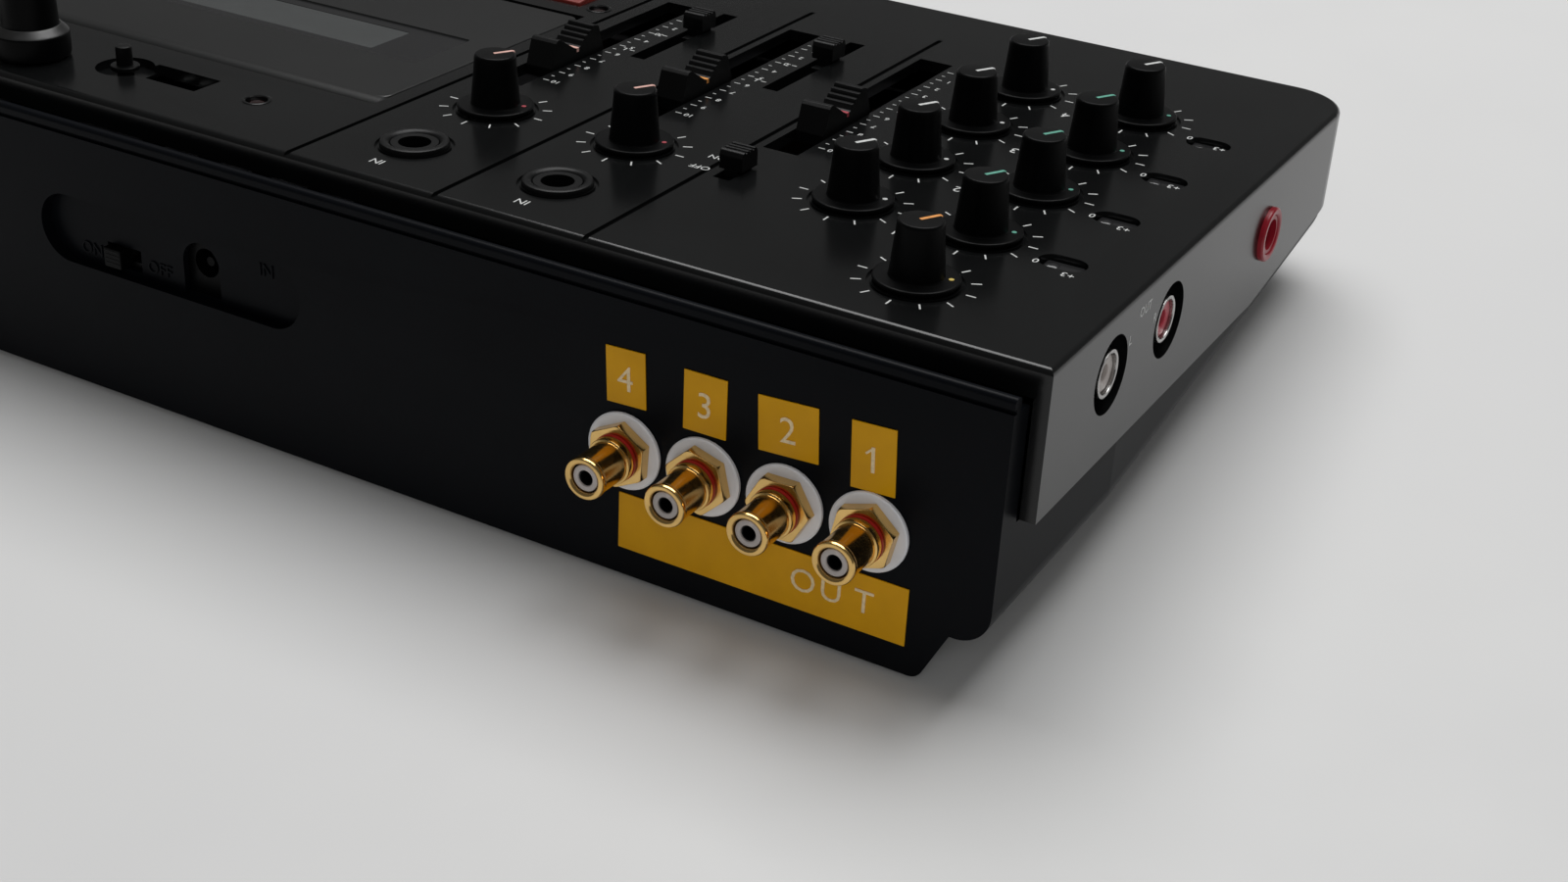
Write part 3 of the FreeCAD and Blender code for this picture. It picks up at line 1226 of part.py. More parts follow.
def make_lid():
    """A flat lid whose rear edge is round about its two pins."""
    body = new_body("cassette_lid")
    sketch = new_sketch(body, "XY_Plane", -size.lid_thick)
    rectangle(sketch, size.lid_left, lid_right, lid_front, hinge_y)
    pad(body, sketch, size.lid_thick)
    corner_y = lid_front.number
    fillet(body, size.lid_corner, lambda edge: upright(edge) and near(edge.BoundBox.YMin, corner_y))
    sketch = new_sketch(body, "YZ_Plane", size.lid_left)
    circle(sketch, hinge_y, -size.hinge_radius, size.hinge_radius)
    pad(body, sketch, size.lid_width)
    sketch = new_sketch(body, "YZ_Plane", size.lid_left - size.pin_length)
    circle(sketch, hinge_y, -size.hinge_radius, size.hinge_pin)
    pad(body, sketch, size.lid_width + size.pin_length * 2)
    window_front = -size.window_rear - size.window_width
    sketch = new_sketch(body, "XY_Plane")
    rectangle(sketch, size.window_left - size.smoke_margin,
              size.window_left + size.window_length + size.smoke_margin,
              window_front - size.smoke_front, -size.window_rear + size.smoke_front)
    pocket(body, sketch, size.smoke_depth)
    sketch = new_sketch(body, "XY_Plane")
    rectangle(sketch, size.window_left, size.window_left + size.window_length,
              window_front, -size.window_rear)
    pocket(body, sketch, size.lid_thick + 1)
    keep(body, "cassette_lid")
    play = size.shaft_play
    group("lid_window", [box("window_pane", size.window_left + play,
                             size.window_left + size.window_length - play, window_front + play,
                             -size.window_rear - play, -size.lid_thick + 0.4, -size.smoke_depth)])


def make_deck_frame():
    """Deck plate with the ears that carry the lid, the counter wheels and the keys' rod."""
    top, low = -size.deck_drop, -size.deck_drop - size.deck_thick
    plate = box("deck_plate", size.deck_left, size.deck_right, -size.deck_front, -size.deck_rear, low, top)
    pieces, holes = [plate], []
    for left in (size.lid_left - size.lid_gap - size.ear_thick, lid_right + size.lid_gap):
        pieces.append(box("lid_ear", left, left + size.ear_thick, hinge_y - size.hinge_radius,
                          hinge_y + size.hinge_radius, top - 0.5, -size.panel_thick - 0.1))
        holes.append(rod("lid_ear_bore", "x", left - 1, hinge_y, -size.hinge_radius,
                         size.hinge_pin + size.shaft_play, size.ear_thick + 2))
    span = size.wheel_pitch * 1.5
    for left in (counter_mid - span - 0.3 - size.ear_thick / 2, counter_mid + span + 0.3):
        pieces.append(box("wheel_ear", left, left + size.ear_thick / 2, counter_y - 3, counter_y + 3,
                          top - 0.5, -size.wheel_drop + 2))
    pieces.append(rod("wheel_axle", "x", counter_mid - span - 0.8, counter_y, -size.wheel_drop,
                      size.axle_radius, span * 2 + 1.6))
    rod_left, rod_right = keys[0] - 1, keys_right + 1
    for left in (rod_left - size.ear_thick, rod_right):
        pieces.append(box("rod_ear", left, left + size.ear_thick, -size.rod_y - 2, -size.rod_y + 2,
                          top - 0.5, -size.rod_drop + 1.6))
    pieces.append(rod("key_rod", "x", rod_left - 1, -size.rod_y, -size.rod_drop, size.axle_radius,
                      rod_right - rod_left + 2))
    for _, across in hubs:
        holes.append(rod("hub_bore", "z", across, -size.hub_y, low - 1, size.hub_shaft + size.shaft_play,
                         size.deck_thick + 2))
    holes.append(rod("capstan_bore", "z", size.capstan_x, -size.capstan_y, low - 1,
                     size.capstan_radius + size.shaft_play, size.deck_thick + 2))
    holes.append(rod("post_notch", "z", size.case_width - size.screw_side, -size.screw_front, low - 1,
                     size.post_radius + 1, size.deck_thick + 2))
    group("deck_frame", [cut("deck", fuse("deck_solid", *pieces), *holes)])


def make_hub(label, across):
    """Spindle with three fins over a flange, on a shaft through the deck plate."""
    top = -size.deck_drop
    spindle = rod(label + "_spindle", "z", across, -size.hub_y, top + 1, size.hub_radius,
                  size.hub_height - 1)
    flange = rod(label + "_flange", "z", across, -size.hub_y, top + 0.3, size.hub_flange, 1)
    shaft = rod(label + "_shaft", "z", across, -size.hub_y, top - size.deck_thick - 2, size.hub_shaft,
                size.deck_thick + 4)
    fins = []
    for number in range(3):
        fin = doc.addObject("Part::Box", label + "_fin")
        fin.setExpression("Length", size.hub_fin.formula)
        fin.setExpression("Width", "1")
        fin.setExpression("Height", (size.hub_height - 2.5).formula)
        turn = Rotation(Vector(0, 0, 1), 90 + 120 * number)
        offset = turn.multVec(Vector(0, -0.5, 0))
        fin.Placement = Placement(Vector(), turn)
        fins.append(place(fin, across + offset.x, -size.hub_y + offset.y, top + 1))
    group(label, [fuse(label + "_solid", spindle, flange, shaft, *fins)])


def make_drive():
    low = -size.deck_drop - size.deck_thick
    wheel_top = low - 1
    disc = rod("flywheel_disc", "z", size.capstan_x, -size.capstan_y, wheel_top - size.flywheel_thick,
               size.flywheel_radius, size.flywheel_thick)
    shaft = rod("capstan", "z", size.capstan_x, -size.capstan_y, wheel_top - 1, size.capstan_radius,
                size.deck_drop + size.deck_thick + 2 - size.hinge_radius - 2)
    group("flywheel", [fuse("flywheel_solid", disc, shaft)])
    head_x = size.lid_left + size.lid_width / 2
    head_rear = lid_front + size.head_length / 2
    group("tape_head", [box("head_block", head_x - size.head_width / 2, head_x + size.head_width / 2,
                            head_rear - size.head_length, head_rear, -size.deck_drop,
                            -size.deck_drop + size.head_height)])
    group("motor", [rod("motor_can", "z", size.motor_x, -size.motor_y, low - size.motor_height,
                        size.motor_radius, size.motor_height)])


KEY_LABELS = ("record_key", "play_key", "rewind_key", "forward_key", "stop_key", "pause_key")


def make_key(label, left):
    """A sloped key cap with an arm to a barrel that turns on the keys' rod."""
    body = new_body(label)
    rear_y, end_y = -size.key_rear, key_front
    sketch = new_sketch(body, "YZ_Plane", left)
    polygon(sketch, [(rear_y, -size.key_depth), (rear_y, size.key_rise - 0.5), (rear_y - 0.5, size.key_rise),
                     (end_y + 1.5, size.key_rise), (end_y, size.key_rise - 1.5), (end_y, -size.key_depth)])
    pad(body, sketch, size.key_width)
    sketch = new_sketch(body, "YZ_Plane", left)
    low = -size.rod_drop - size.barrel_radius
    rectangle(sketch, rear_y - 1, -size.rod_y, low, -size.rod_drop)
    pad(body, sketch, size.key_width)
    sketch = new_sketch(body, "YZ_Plane", left)
    circle(sketch, -size.rod_y, -size.rod_drop, size.barrel_radius)
    pad(body, sketch, size.key_width)
    sketch = new_sketch(body, "YZ_Plane", left)
    circle(sketch, -size.rod_y, -size.rod_drop, size.axle_radius + size.shaft_play)
    pocket(body, sketch, size.key_width, reverse=True)
    keep(body, label)


make_top_shell()
make_bottom_shell()
make_feet()
make_screws()
make_board()
make_pots()
for knob in knob_places:
    make_knob(*knob)
make_pitch_knob()
for fader in fader_places:
    make_fader(*fader)
make_fader_bodies()
for number, across in enumerate(sliders, start=1):
    make_slider("assign_switch_%d" % number, across, size.slider_rest, size.button_length * 0.9)
make_slider("noise_switch", size.noise_x, size.noise_rest, size.button_length / 2)
make_power_switch()
make_switch_bodies()
make_input_jacks()
make_line_outs()
make_remote_jack()
make_tape_jacks()
make_labels()
make_supply_socket()
make_lights()
make_counter()
make_lid()
make_deck_frame()
for hub in hubs:
    make_hub(*hub)
make_drive()
for label, left in zip(KEY_LABELS, keys):
    make_key(label, left)
doc.recompute()

# Stand the recorder level, with the origin under the middle of its box
tilt = Placement(Vector(), Rotation(Vector(1, 0, 0), size.tilt_angle.number))
for item in nodes:
    item.Placement = tilt.multiply(item.Placement)
doc.recompute()
whole = Part.makeCompound([item.Shape for item in nodes]).optimalBoundingBox(False, False)
shift = Vector(-whole.Center.x, -whole.Center.y, -whole.ZMin)
seat = Placement(shift, Rotation()).multiply(tilt)
for item in nodes:
    item.Placement = Placement(shift, Rotation()).multiply(item.Placement)
doc.recompute()

for item in doc.Objects:
    if "Invalid" in item.State or "Error" in item.State:
        raise RuntimeError("%s did not rebuild: %s" % (item.Label, item.State))
for item in nodes:
    if item.Shape.isNull() or not item.Shape.isValid():
        raise RuntimeError("%s has no valid shape" % item.Label)

os.makedirs("parts", exist_ok=True)
for item in nodes:
    item.Shape.exportStep("parts/%s.step" % item.Label)
print("%d sub-parts, box %.1f x %.1f x %.1f mm" % (len(nodes), whole.XLength, whole.YLength, whole.ZLength))
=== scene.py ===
import json
import math

import bmesh
import bpy
from mathutils import Matrix, Vector


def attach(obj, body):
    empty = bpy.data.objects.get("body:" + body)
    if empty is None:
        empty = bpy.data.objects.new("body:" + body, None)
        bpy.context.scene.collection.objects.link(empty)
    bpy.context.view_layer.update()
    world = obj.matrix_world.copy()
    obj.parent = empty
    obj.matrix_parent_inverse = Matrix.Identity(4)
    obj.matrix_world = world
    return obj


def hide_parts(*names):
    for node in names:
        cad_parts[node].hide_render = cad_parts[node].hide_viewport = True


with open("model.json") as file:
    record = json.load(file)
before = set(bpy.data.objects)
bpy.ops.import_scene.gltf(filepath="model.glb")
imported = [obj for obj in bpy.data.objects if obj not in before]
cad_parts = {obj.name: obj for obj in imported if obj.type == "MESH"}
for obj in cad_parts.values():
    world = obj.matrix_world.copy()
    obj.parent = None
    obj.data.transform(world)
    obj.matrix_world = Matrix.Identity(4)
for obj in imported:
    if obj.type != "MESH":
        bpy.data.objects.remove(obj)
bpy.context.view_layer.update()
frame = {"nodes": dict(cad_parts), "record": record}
nodes = frame["nodes"]

# The recorder's own measures are millimetres on its sloped panel: x from the left side,
# y from the rear edge (the panel lies below zero), z square to the panel.
TILT = math.radians(8)
slope = Matrix.Rotation(TILT, 4, "X")
jack_mount = next(m for m in frame["record"]["mounts"] if m["name"] == "input_jack_1")
JACK_SEAT = Vector((0.1103, -0.0185, -0.015))
corner = Vector(jack_mount["pos_m"]) - slope @ JACK_SEAT
PANEL = Matrix.Translation(corner) @ slope @ Matrix.Scale(0.001, 4)

REAR = 5.6
KNOB_ROWS = [-18.5, -44.85, -71.2, -97.55, -123.9]
KNOB_TURN = math.radians(-28)
PAN_COLUMN, LEVEL_COLUMN = 34.3, 61.0
STRIPS = [110.3, 144.3]
FADERS = [("master_fader", 85.3), ("input_fader_1", 119.2), ("input_fader_2", 152.6)]
FADER_REST = -81.6
ASSIGN_SWITCHES = [105.7, 139.6]
PITCH = (240.6, -11.8, 0)
TAPE_JACKS = [27.8, 44.6, 61.4, 78.2]
TAPE_UP = -36.5
LINE_OUTS, LINE_OUT_UP = [-27.9, -55.8], -12
REMOTE_JACK = (0, -113, -14.2)
METER_ROWS = [-41.8, -67.1, -92.4, -117.7]
ROUND_LIGHTS = [(185.4, -19.2), (166.4, -115.0)]
COUNTER_RESET = (220.5, -18.0, 0)
COUNTER_WHEELS, COUNTER_AXLE = [202.7, 207.4, 212.1], (-19.35, -8.6)


# Materials

def material(name):
    """A new material with its node tree, its shader and the object's own coordinates."""
    mat = bpy.data.materials.new(name)
    mat.use_nodes = True
    tree = mat.node_tree
    shader = tree.nodes["Principled BSDF"]
    place = tree.nodes.new("ShaderNodeTexCoord")
    return mat, tree, shader, place.outputs["Object"]


def speckle(tree, place, scale, detail=3.0, stretch=(1, 1, 1)):
    """Noise over the piece, its grain stretched along the axes."""
    mapping = tree.nodes.new("ShaderNodeMapping")
    mapping.inputs["Scale"].default_value = stretch
    tree.links.new(place, mapping.inputs["Vector"])
    noise = tree.nodes.new("ShaderNodeTexNoise")
    noise.inputs["Scale"].default_value = scale
    noise.inputs["Detail"].default_value = detail
    tree.links.new(mapping.outputs["Vector"], noise.inputs["Vector"])
    return noise.outputs["Fac"]


def spread(tree, source, socket, low, high):
    """Lead a 0 to 1 value to a socket, stretched between two numbers."""
    ramp = tree.nodes.new("ShaderNodeMapRange")
    ramp.inputs["From Min"].default_value = 0.3
    ramp.inputs["From Max"].default_value = 0.7
    ramp.inputs["To Min"].default_value = low
    ramp.inputs["To Max"].default_value = high
    tree.links.new(source, ramp.inputs["Value"])
    tree.links.new(ramp.outputs["Result"], socket)


def two_tones(tree, source, low, high):
    """Colours between two tones, laid out by a 0 to 1 value."""
    ramp = tree.nodes.new("ShaderNodeValToRGB")
    ramp.color_ramp.elements[0].position = 0.35
    ramp.color_ramp.elements[1].position = 0.65
    ramp.color_ramp.elements[0].color = (*low, 1)
    ramp.color_ramp.elements[1].color = (*high, 1)
    tree.links.new(source, ramp.inputs["Fac"])
    return ramp.outputs["Color"]


def tint(tree, source, socket, low, high):
    """Lead two tones to a socket."""
    tree.links.new(two_tones(tree, source, low, high), socket)


def grain(tree, source, shader, strength, distance=0.0001):
    """Fine relief, its distance in metres."""
    bump = tree.nodes.new("ShaderNodeBump")
    bump.inputs["Strength"].default_value = strength
    bump.inputs["Distance"].default_value = distance
    tree.links.new(source, bump.inputs["Height"])
    tree.links.new(bump.outputs["Normal"], shader.inputs["Normal"])


def edge_wear(tree, source, socket, worn_and_lit):
    """Lighten the colour along edges and corners: partly rubbed wear, partly a painted edge highlight."""
    shape = tree.nodes.new("ShaderNodeNewGeometry")
    # Sharp convex edges take the lighter tone: partly wear, partly a painted edge highlight.
    ramp = tree.nodes.new("ShaderNodeMapRange")
    ramp.inputs["From Min"].default_value = 0.53
    ramp.inputs["From Max"].default_value = 0.62
    ramp.inputs["To Max"].default_value = 0.45
    tree.links.new(shape.outputs["Pointiness"], ramp.inputs["Value"])
    blend = tree.nodes.new("ShaderNodeMix")
    blend.data_type = "RGBA"
    tree.links.new(ramp.outputs["Result"], blend.inputs["Factor"])
    tree.links.new(source, blend.inputs["A"])
    blend.inputs["B"].default_value = (*worn_and_lit, 1)
    tree.links.new(blend.outputs["Result"], socket)


def moulded_plastic(name, colour, rough, pits=0.25, size=3200, sheen=0.5):
    """Moulded plastic: fine spark-eroded texture, faint cloudiness, edges lighter from handling wear and a
    painted edge highlight.
    """
    mat, tree, shader, place = material(name)
    light = tuple(c * 1.3 + 0.0003 for c in colour)
    # Lighter tone for edges and corners: partly handling wear, partly a painted edge highlight.
    worn_and_lit = tuple(c * 1.7 + 0.002 for c in colour)
    cloud = two_tones(tree, speckle(tree, place, 45, 6), colour, light)
    edge_wear(tree, cloud, shader.inputs["Base Color"], worn_and_lit)
    spread(tree, speckle(tree, place, 14, 3), shader.inputs["Roughness"], rough - 0.015, rough + 0.02)
    grain(tree, speckle(tree, place, size, 2), shader, pits)
    shader.inputs["Specular IOR Level"].default_value = sheen
    return mat


def metal(name, colour, rough, lines=(1, 1, 1), size=900, deep=0.12):
    """Turned or plated metal: fine tool lines and a slightly uneven gloss."""
    mat, tree, shader, place = material(name)
    shader.inputs["Metallic"].default_value = 1
    dull = tuple(c * 0.82 for c in colour)
    tint(tree, speckle(tree, place, 160, 4), shader.inputs["Base Color"], dull, colour)
    spread(tree, speckle(tree, place, size, 3, lines), shader.inputs["Roughness"], rough, rough + 0.12)
    grain(tree, speckle(tree, place, size, 2, lines), shader, deep, 0.00005)
    return mat


def printed_ink(name, colour):
    """Screen printed paint, a little uneven at its edges."""
    mat, tree, shader, place = material(name)
    thin = tuple(c * 0.8 for c in colour)
    tint(tree, speckle(tree, place, 1400, 3), shader.inputs["Base Color"], thin, colour)
    spread(tree, speckle(tree, place, 700), shader.inputs["Roughness"], 0.45, 0.6)
    grain(tree, speckle(tree, place, 3500), shader, 0.1)
    return mat


def embossing_tape():
    """Glossy label tape: flat colour with faint rolling waves and scuffs."""
    mat, tree, shader, place = material("label_tape")
    tint(tree, speckle(tree, place, 120, 5), shader.inputs["Base Color"],
         (0.72, 0.35, 0.0), (0.78, 0.385, 0.0))
    shader.inputs["Specular IOR Level"].default_value = 0.2
    spread(tree, speckle(tree, place, 260, 6), shader.inputs["Roughness"], 0.3, 0.42)
    grain(tree, speckle(tree, place, 300, 2), shader, 0.15, 0.0003)
    return mat


def clear_plastic(name, colour, rough, through):
    """Glossy plastic that lets a share of the light through."""
    mat, tree, shader, place = material(name)
    shader.inputs["Transmission Weight"].default_value = through
    shader.inputs["IOR"].default_value = 1.49
    tint(tree, speckle(tree, place, 80, 4), shader.inputs["Base Color"],
         tuple(c * 0.9 for c in colour), colour)
    spread(tree, speckle(tree, place, 300, 6), shader.inputs["Roughness"], rough, rough + 0.05)
    grain(tree, speckle(tree, place, 400, 2), shader, 0.04, 0.0002)
    return mat


def board_laminate():
    """Brown paper laminate with a faint weave and darker tracks."""
    mat, tree, shader, place = material("board_laminate")
    tint(tree, speckle(tree, place, 300, 4, (1, 6, 1)), shader.inputs["Base Color"],
         (0.10, 0.055, 0.02), (0.16, 0.09, 0.035))
    spread(tree, speckle(tree, place, 200), shader.inputs["Roughness"], 0.45, 0.6)
    grain(tree, speckle(tree, place, 1500), shader, 0.2)
    return mat


CASE = moulded_plastic("case_plastic", (0.0022, 0.0024, 0.0025), 0.20, 0.06, 3000, 0.40)
SHELL = moulded_plastic("lower_case_plastic", (0.0020, 0.0024, 0.0034), 0.36, 0.14, 3000, 0.06)
LID_PLASTIC = moulded_plastic("lid_plastic", (0.0048, 0.0051, 0.0051), 0.32, 0.12, 3000, 0.5)
KNOB = moulded_plastic("knob_plastic", (0.0008, 0.0009, 0.0010), 0.40, 0.2, 4200, 0.10)
CONTROL = moulded_plastic("control_plastic", (0.0012, 0.0013, 0.0014), 0.40, 0.25, 3500, 0.2)
KEY = moulded_plastic("key_plastic", (0.005, 0.0053, 0.0053), 0.45, 0.25, 3200, 0.4)
RED_KEY = moulded_plastic("record_key_plastic", (0.16, 0.02, 0.015), 0.45, 0.3, 3200, 0.5)
RUBBER = moulded_plastic("rubber", (0.006, 0.006, 0.006), 0.8, 0.5, 1800, 0.3)
RED_PLASTIC = moulded_plastic("red_collar_plastic", (0.22, 0.008, 0.016), 0.3, 0.12, 2500, 0.4)
BAND_RED = moulded_plastic("band_enamel", (0.26, 0.008, 0.006), 0.28, 0.1, 2500, 0.4)
NYLON = moulded_plastic("white_nylon", (0.66, 0.66, 0.68), 0.38, 0.15, 2200, 0.5)
IVORY = moulded_plastic("ivory_insert", (0.42, 0.38, 0.36), 0.4, 0.15, 2200, 0.5)
PINK = moulded_plastic("pink_insert", (0.40, 0.05, 0.07), 0.4, 0.15, 2200, 0.5)
GREY_STEEL = metal("fader_steel", (0.10, 0.10, 0.105), 0.45, (1, 0.1, 1), 1500, 0.2)
STEEL = metal("plated_steel", (0.55, 0.55, 0.54), 0.3, (0.2, 1, 1), 1200, 0.2)
GOLD = metal("gold_plate", (0.86, 0.56, 0.20), 0.13, (1, 8, 1), 600, 0.10)
NICKEL = metal("nickel_ring", (0.50, 0.49, 0.48), 0.2, (8, 1, 1), 600, 0.1)
BEVEL_RING = metal("satin_ring", (0.085, 0.085, 0.085), 0.38, (1, 1, 6), 900, 0.2)
BRASS = metal("turned_brass", (0.65, 0.47, 0.2), 0.3, (1, 1, 5), 900, 0.2)
TAPE = embossing_tape()
STRESS = printed_ink("stressed_tape", (1.0, 0.80, 0.48))
INK = printed_ink("white_ink", (0.62, 0.63, 0.62))
ORANGE_INK = printed_ink("orange_ink", (0.75, 0.30, 0.06))
GREEN_INK = printed_ink("green_ink", (0.10, 0.36, 0.27))
PINK_INK = printed_ink("pink_ink", (0.72, 0.42, 0.36))
YELLOW_INK = printed_ink("yellow_ink", (0.62, 0.46, 0.10))
RED_INK = printed_ink("red_ink", (0.42, 0.05, 0.07))
LENS = clear_plastic("smoked_lens", (0.02, 0.02, 0.021), 0.14, 0.2)
RED_LENS = clear_plastic("red_lens", (0.02, 0.008, 0.008), 0.08, 0.25)
PANE = clear_plastic("clear_pane", (0.09, 0.095, 0.095), 0.16, 0.35)
BOARD = board_laminate()


# Making pieces

def piece(name, bm, mats, body, replaces=(), sharp=35):
    """Stand a shape drawn in panel millimetres in its place and let it ride on its body."""
    bmesh.ops.remove_doubles(bm, verts=bm.verts, dist=0.0005)
    bmesh.ops.recalc_face_normals(bm, faces=bm.faces)
    bm.transform(PANEL)
    mesh = bpy.data.meshes.new(name)
    bm.to_mesh(mesh)
    bm.free()
    for mat in mats:
        mesh.materials.append(mat)
    for face in mesh.polygons:
        face.use_smooth = True
    mesh.set_sharp_from_angle(angle=math.radians(sharp))
    item = bpy.data.objects.new(name, mesh)
    bpy.context.scene.collection.objects.link(item)
    even = item.modifiers.new("even_normals", "WEIGHTED_NORMAL")
    even.keep_sharp = True
    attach(item, body)
    if replaces:
        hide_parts(*replaces)
    return item


# Each axis with the direction in which a profile's radius is first laid out.
AXES = {"x": (Vector((1, 0, 0)), Vector((0, 0, 1))),
        "y": (Vector((0, 1, 0)), Vector((1, 0, 0))),
        "z": (Vector((0, 0, 1)), Vector((1, 0, 0)))}


def turned(bm, profile, centre, axis="z", steps=64, mat=0):
    """Spin a profile of (radius, place along the axis) about an axis through the centre."""
    along, out = AXES[axis]
    centre = Vector(centre)
    verts = [bm.verts.new(centre + out * radius + along * place) for radius, place in profile]
    edges = [bm.edges.new(pair) for pair in zip(verts, verts[1:])]
    old = set(bm.faces)
    bmesh.ops.spin(bm, geom=verts + edges, cent=centre, axis=along, dvec=(0, 0, 0), angle=math.tau,
                   steps=steps, use_merge=True, use_normal_flip=False, use_duplicate=False)
    finish(bm, old, mat)


def finish(bm, old, mat):
    """Give every face that is not among the old ones one of the piece's finishes."""
    for face in bm.faces:
        if face not in old:
            face.material_index = mat


def paint(made, mat):
    """Give the faces of a newly made solid one of the piece's finishes."""
    for face in {face for vert in made["verts"] for face in vert.link_faces}:
        face.material_index = mat


def soften(bm, edges, round_off, segments, clamp=False):
    """Round a set of edges."""
    bmesh.ops.bevel(bm, geom=edges, offset=round_off, offset_type="OFFSET", segments=segments,
                    profile=0.5, affect="EDGES", clamp_overlap=clamp, material=-1)


def block(bm, low, high, round_off=0.0, segments=2, mat=0):
    """A box between two corners, its edges rounded."""
    old = set(bm.faces)
    low, high = Vector(low), Vector(high)
    made = bmesh.ops.create_cube(bm, size=1)
    bmesh.ops.scale(bm, vec=high - low, verts=made["verts"])
    bmesh.ops.translate(bm, vec=(low + high) / 2, verts=made["verts"])
    if round_off:
        edges = list({edge for vert in made["verts"] for edge in vert.link_edges})
        soften(bm, edges, round_off, segments)
    finish(bm, old, mat)


def outline(bm, points, way, depth, round_off=0.0, segments=2, mat=0):
    """Push a flat outline through a depth and round its edges."""
    old = set(bm.faces)
    face = bm.faces.new([bm.verts.new(point) for point in points])
    grown = bmesh.ops.extrude_face_region(bm, geom=[face])
    moved = [item for item in grown["geom"] if isinstance(item, bmesh.types.BMVert)]
    bmesh.ops.translate(bm, vec=Vector(way) * depth, verts=moved)
    if round_off:
        edges = list({edge for near in bm.faces if near not in old for edge in near.edges})
        soften(bm, edges, round_off, segments, clamp=True)
    finish(bm, old, mat)


def disc(bm, centre, radius, thick, mat=0, sides=16, turn=0.0):
    """A thin round mark, or one with as many sides as asked for."""
    place = Matrix.Translation(centre) @ Matrix.Rotation(turn, 4, "Z")
    made = bmesh.ops.create_cone(bm, cap_ends=True, segments=sides, radius1=radius, radius2=radius,
                                 depth=thick, matrix=place)
    paint(made, mat)


def stroke(bm, centre, length, width, angle, thick=0.06, mat=0):
    """A thin printed line on the panel."""
    turn = Matrix.Translation(centre) @ Matrix.Rotation(angle, 4, "Z")
    made = bmesh.ops.create_cube(bm, size=1, matrix=turn @ Matrix.Diagonal((length, width, thick, 1)))
    paint(made, mat)


# The height of a capital as a share of the font's size.
CAPITAL_SHARE = 0.7


def lettering(bm, words, height, place, mat=0, thick=0.04, bold=0.0):
    """Letters or figures as a thin solid, stood in place by a matrix in panel millimetres."""
    curve = bpy.data.curves.new("letters", "FONT")
    curve.body = words
    curve.size = height / CAPITAL_SHARE
    curve.extrude = thick / 2
    curve.offset = bold
    curve.resolution_u = 3
    curve.align_x = "CENTER"
    curve.align_y = "CENTER"
    holder = bpy.data.objects.new("letters", curve)
    bpy.context.scene.collection.objects.link(holder)
    bpy.context.view_layer.update()
    drawn = holder.evaluated_get(bpy.context.evaluated_depsgraph_get())
    mesh = bpy.data.meshes.new_from_object(drawn)
    mesh.transform(place)
    old = len(bm.faces)
    bm.from_mesh(mesh)
    bm.faces.ensure_lookup_table()
    for face in bm.faces[old:]:
        face.material_index = mat
    bpy.data.objects.remove(holder)
    bpy.data.curves.remove(curve)
    bpy.data.meshes.remove(mesh)


def on_panel(across, along):
    """Flat on the panel, read from the front."""
    return Matrix.Translation((across, along, 0.02))


def on_rear(across, up, out=0.0, turn=0.0):
    """Upright on the rear panel, read from behind."""
    return (Matrix.Translation((across, REAR + out, up)) @ Matrix.Rotation(math.pi, 4, "Z")
            @ Matrix.Rotation(math.pi / 2, 4, "X") @ Matrix.Rotation(turn, 4, "Z"))


def on_left_side(along, up, out=0.0):
    """Upright on the left side wall, read from the left."""
    return (Matrix.Translation((-out, along, up)) @ Matrix.Rotation(-math.pi / 2, 4, "Z")
            @ Matrix.Rotation(math.pi / 2, 4, "X"))


def dress(name, mat):
    """Give a node that stays in view its own finish."""
    item = nodes[name]
    item.data.materials.clear()
    item.data.materials.append(mat)


# Round knobs

def knob(name, across, along, line, spot):
    """A skirted knob: its line across the top and down the side, its spot beside it on the skirt."""
    bm = bmesh.new()
    profile = [(0, -16), (2.9, -16), (2.9, 0.4), (7.45, 0.4), (7.78, 0.5), (7.88, 0.75), (7.9, 0.9),
               (7.85, 1.1), (7.7, 1.24), (7.45, 1.3), (5.15, 1.3), (5.06, 1.4), (5.02, 1.7), (4.92, 3.0),
               (4.8, 4.4), (4.67, 5.8), (4.54, 7.2), (4.43, 8.6), (4.32, 10.0), (4.25, 11.1),
               (4.2, 11.45), (4.05, 11.68), (3.8, 11.8), (0, 11.8)]
    turned(bm, profile, (0, 0, 0), steps=72)
    block(bm, (-0.42, -4.05, 11.5), (0.42, 0.3, 11.87), 0.12, 2, 1)
    block(bm, (-0.42, -4.33, 10.3), (0.42, -3.9, 11.8), 0.12, 2, 1)
    bm.transform(Matrix.Translation((across, along, 0)) @ Matrix.Rotation(KNOB_TURN, 4, "Z"))
    disc(bm, (across - 5.9, along - 1.7, 1.32), 0.5, 0.12, 2)
    return piece(name + "_cap", bm, [KNOB, line, spot], name, [name])


for number, along in enumerate(KNOB_ROWS[1:], start=1):
    knob("level_knob_%d" % number, LEVEL_COLUMN, along, INK, INK)
    colour = INK if number == 4 else GREEN_INK
    knob("pan_knob_%d" % number, PAN_COLUMN, along, colour, GREEN_INK)
for number, across in enumerate(STRIPS, start=1):
    knob("trim_knob_%d" % number, across, KNOB_ROWS[1], PINK_INK, RED_INK)
knob("phones_knob", PAN_COLUMN, KNOB_ROWS[0], ORANGE_INK, YELLOW_INK)

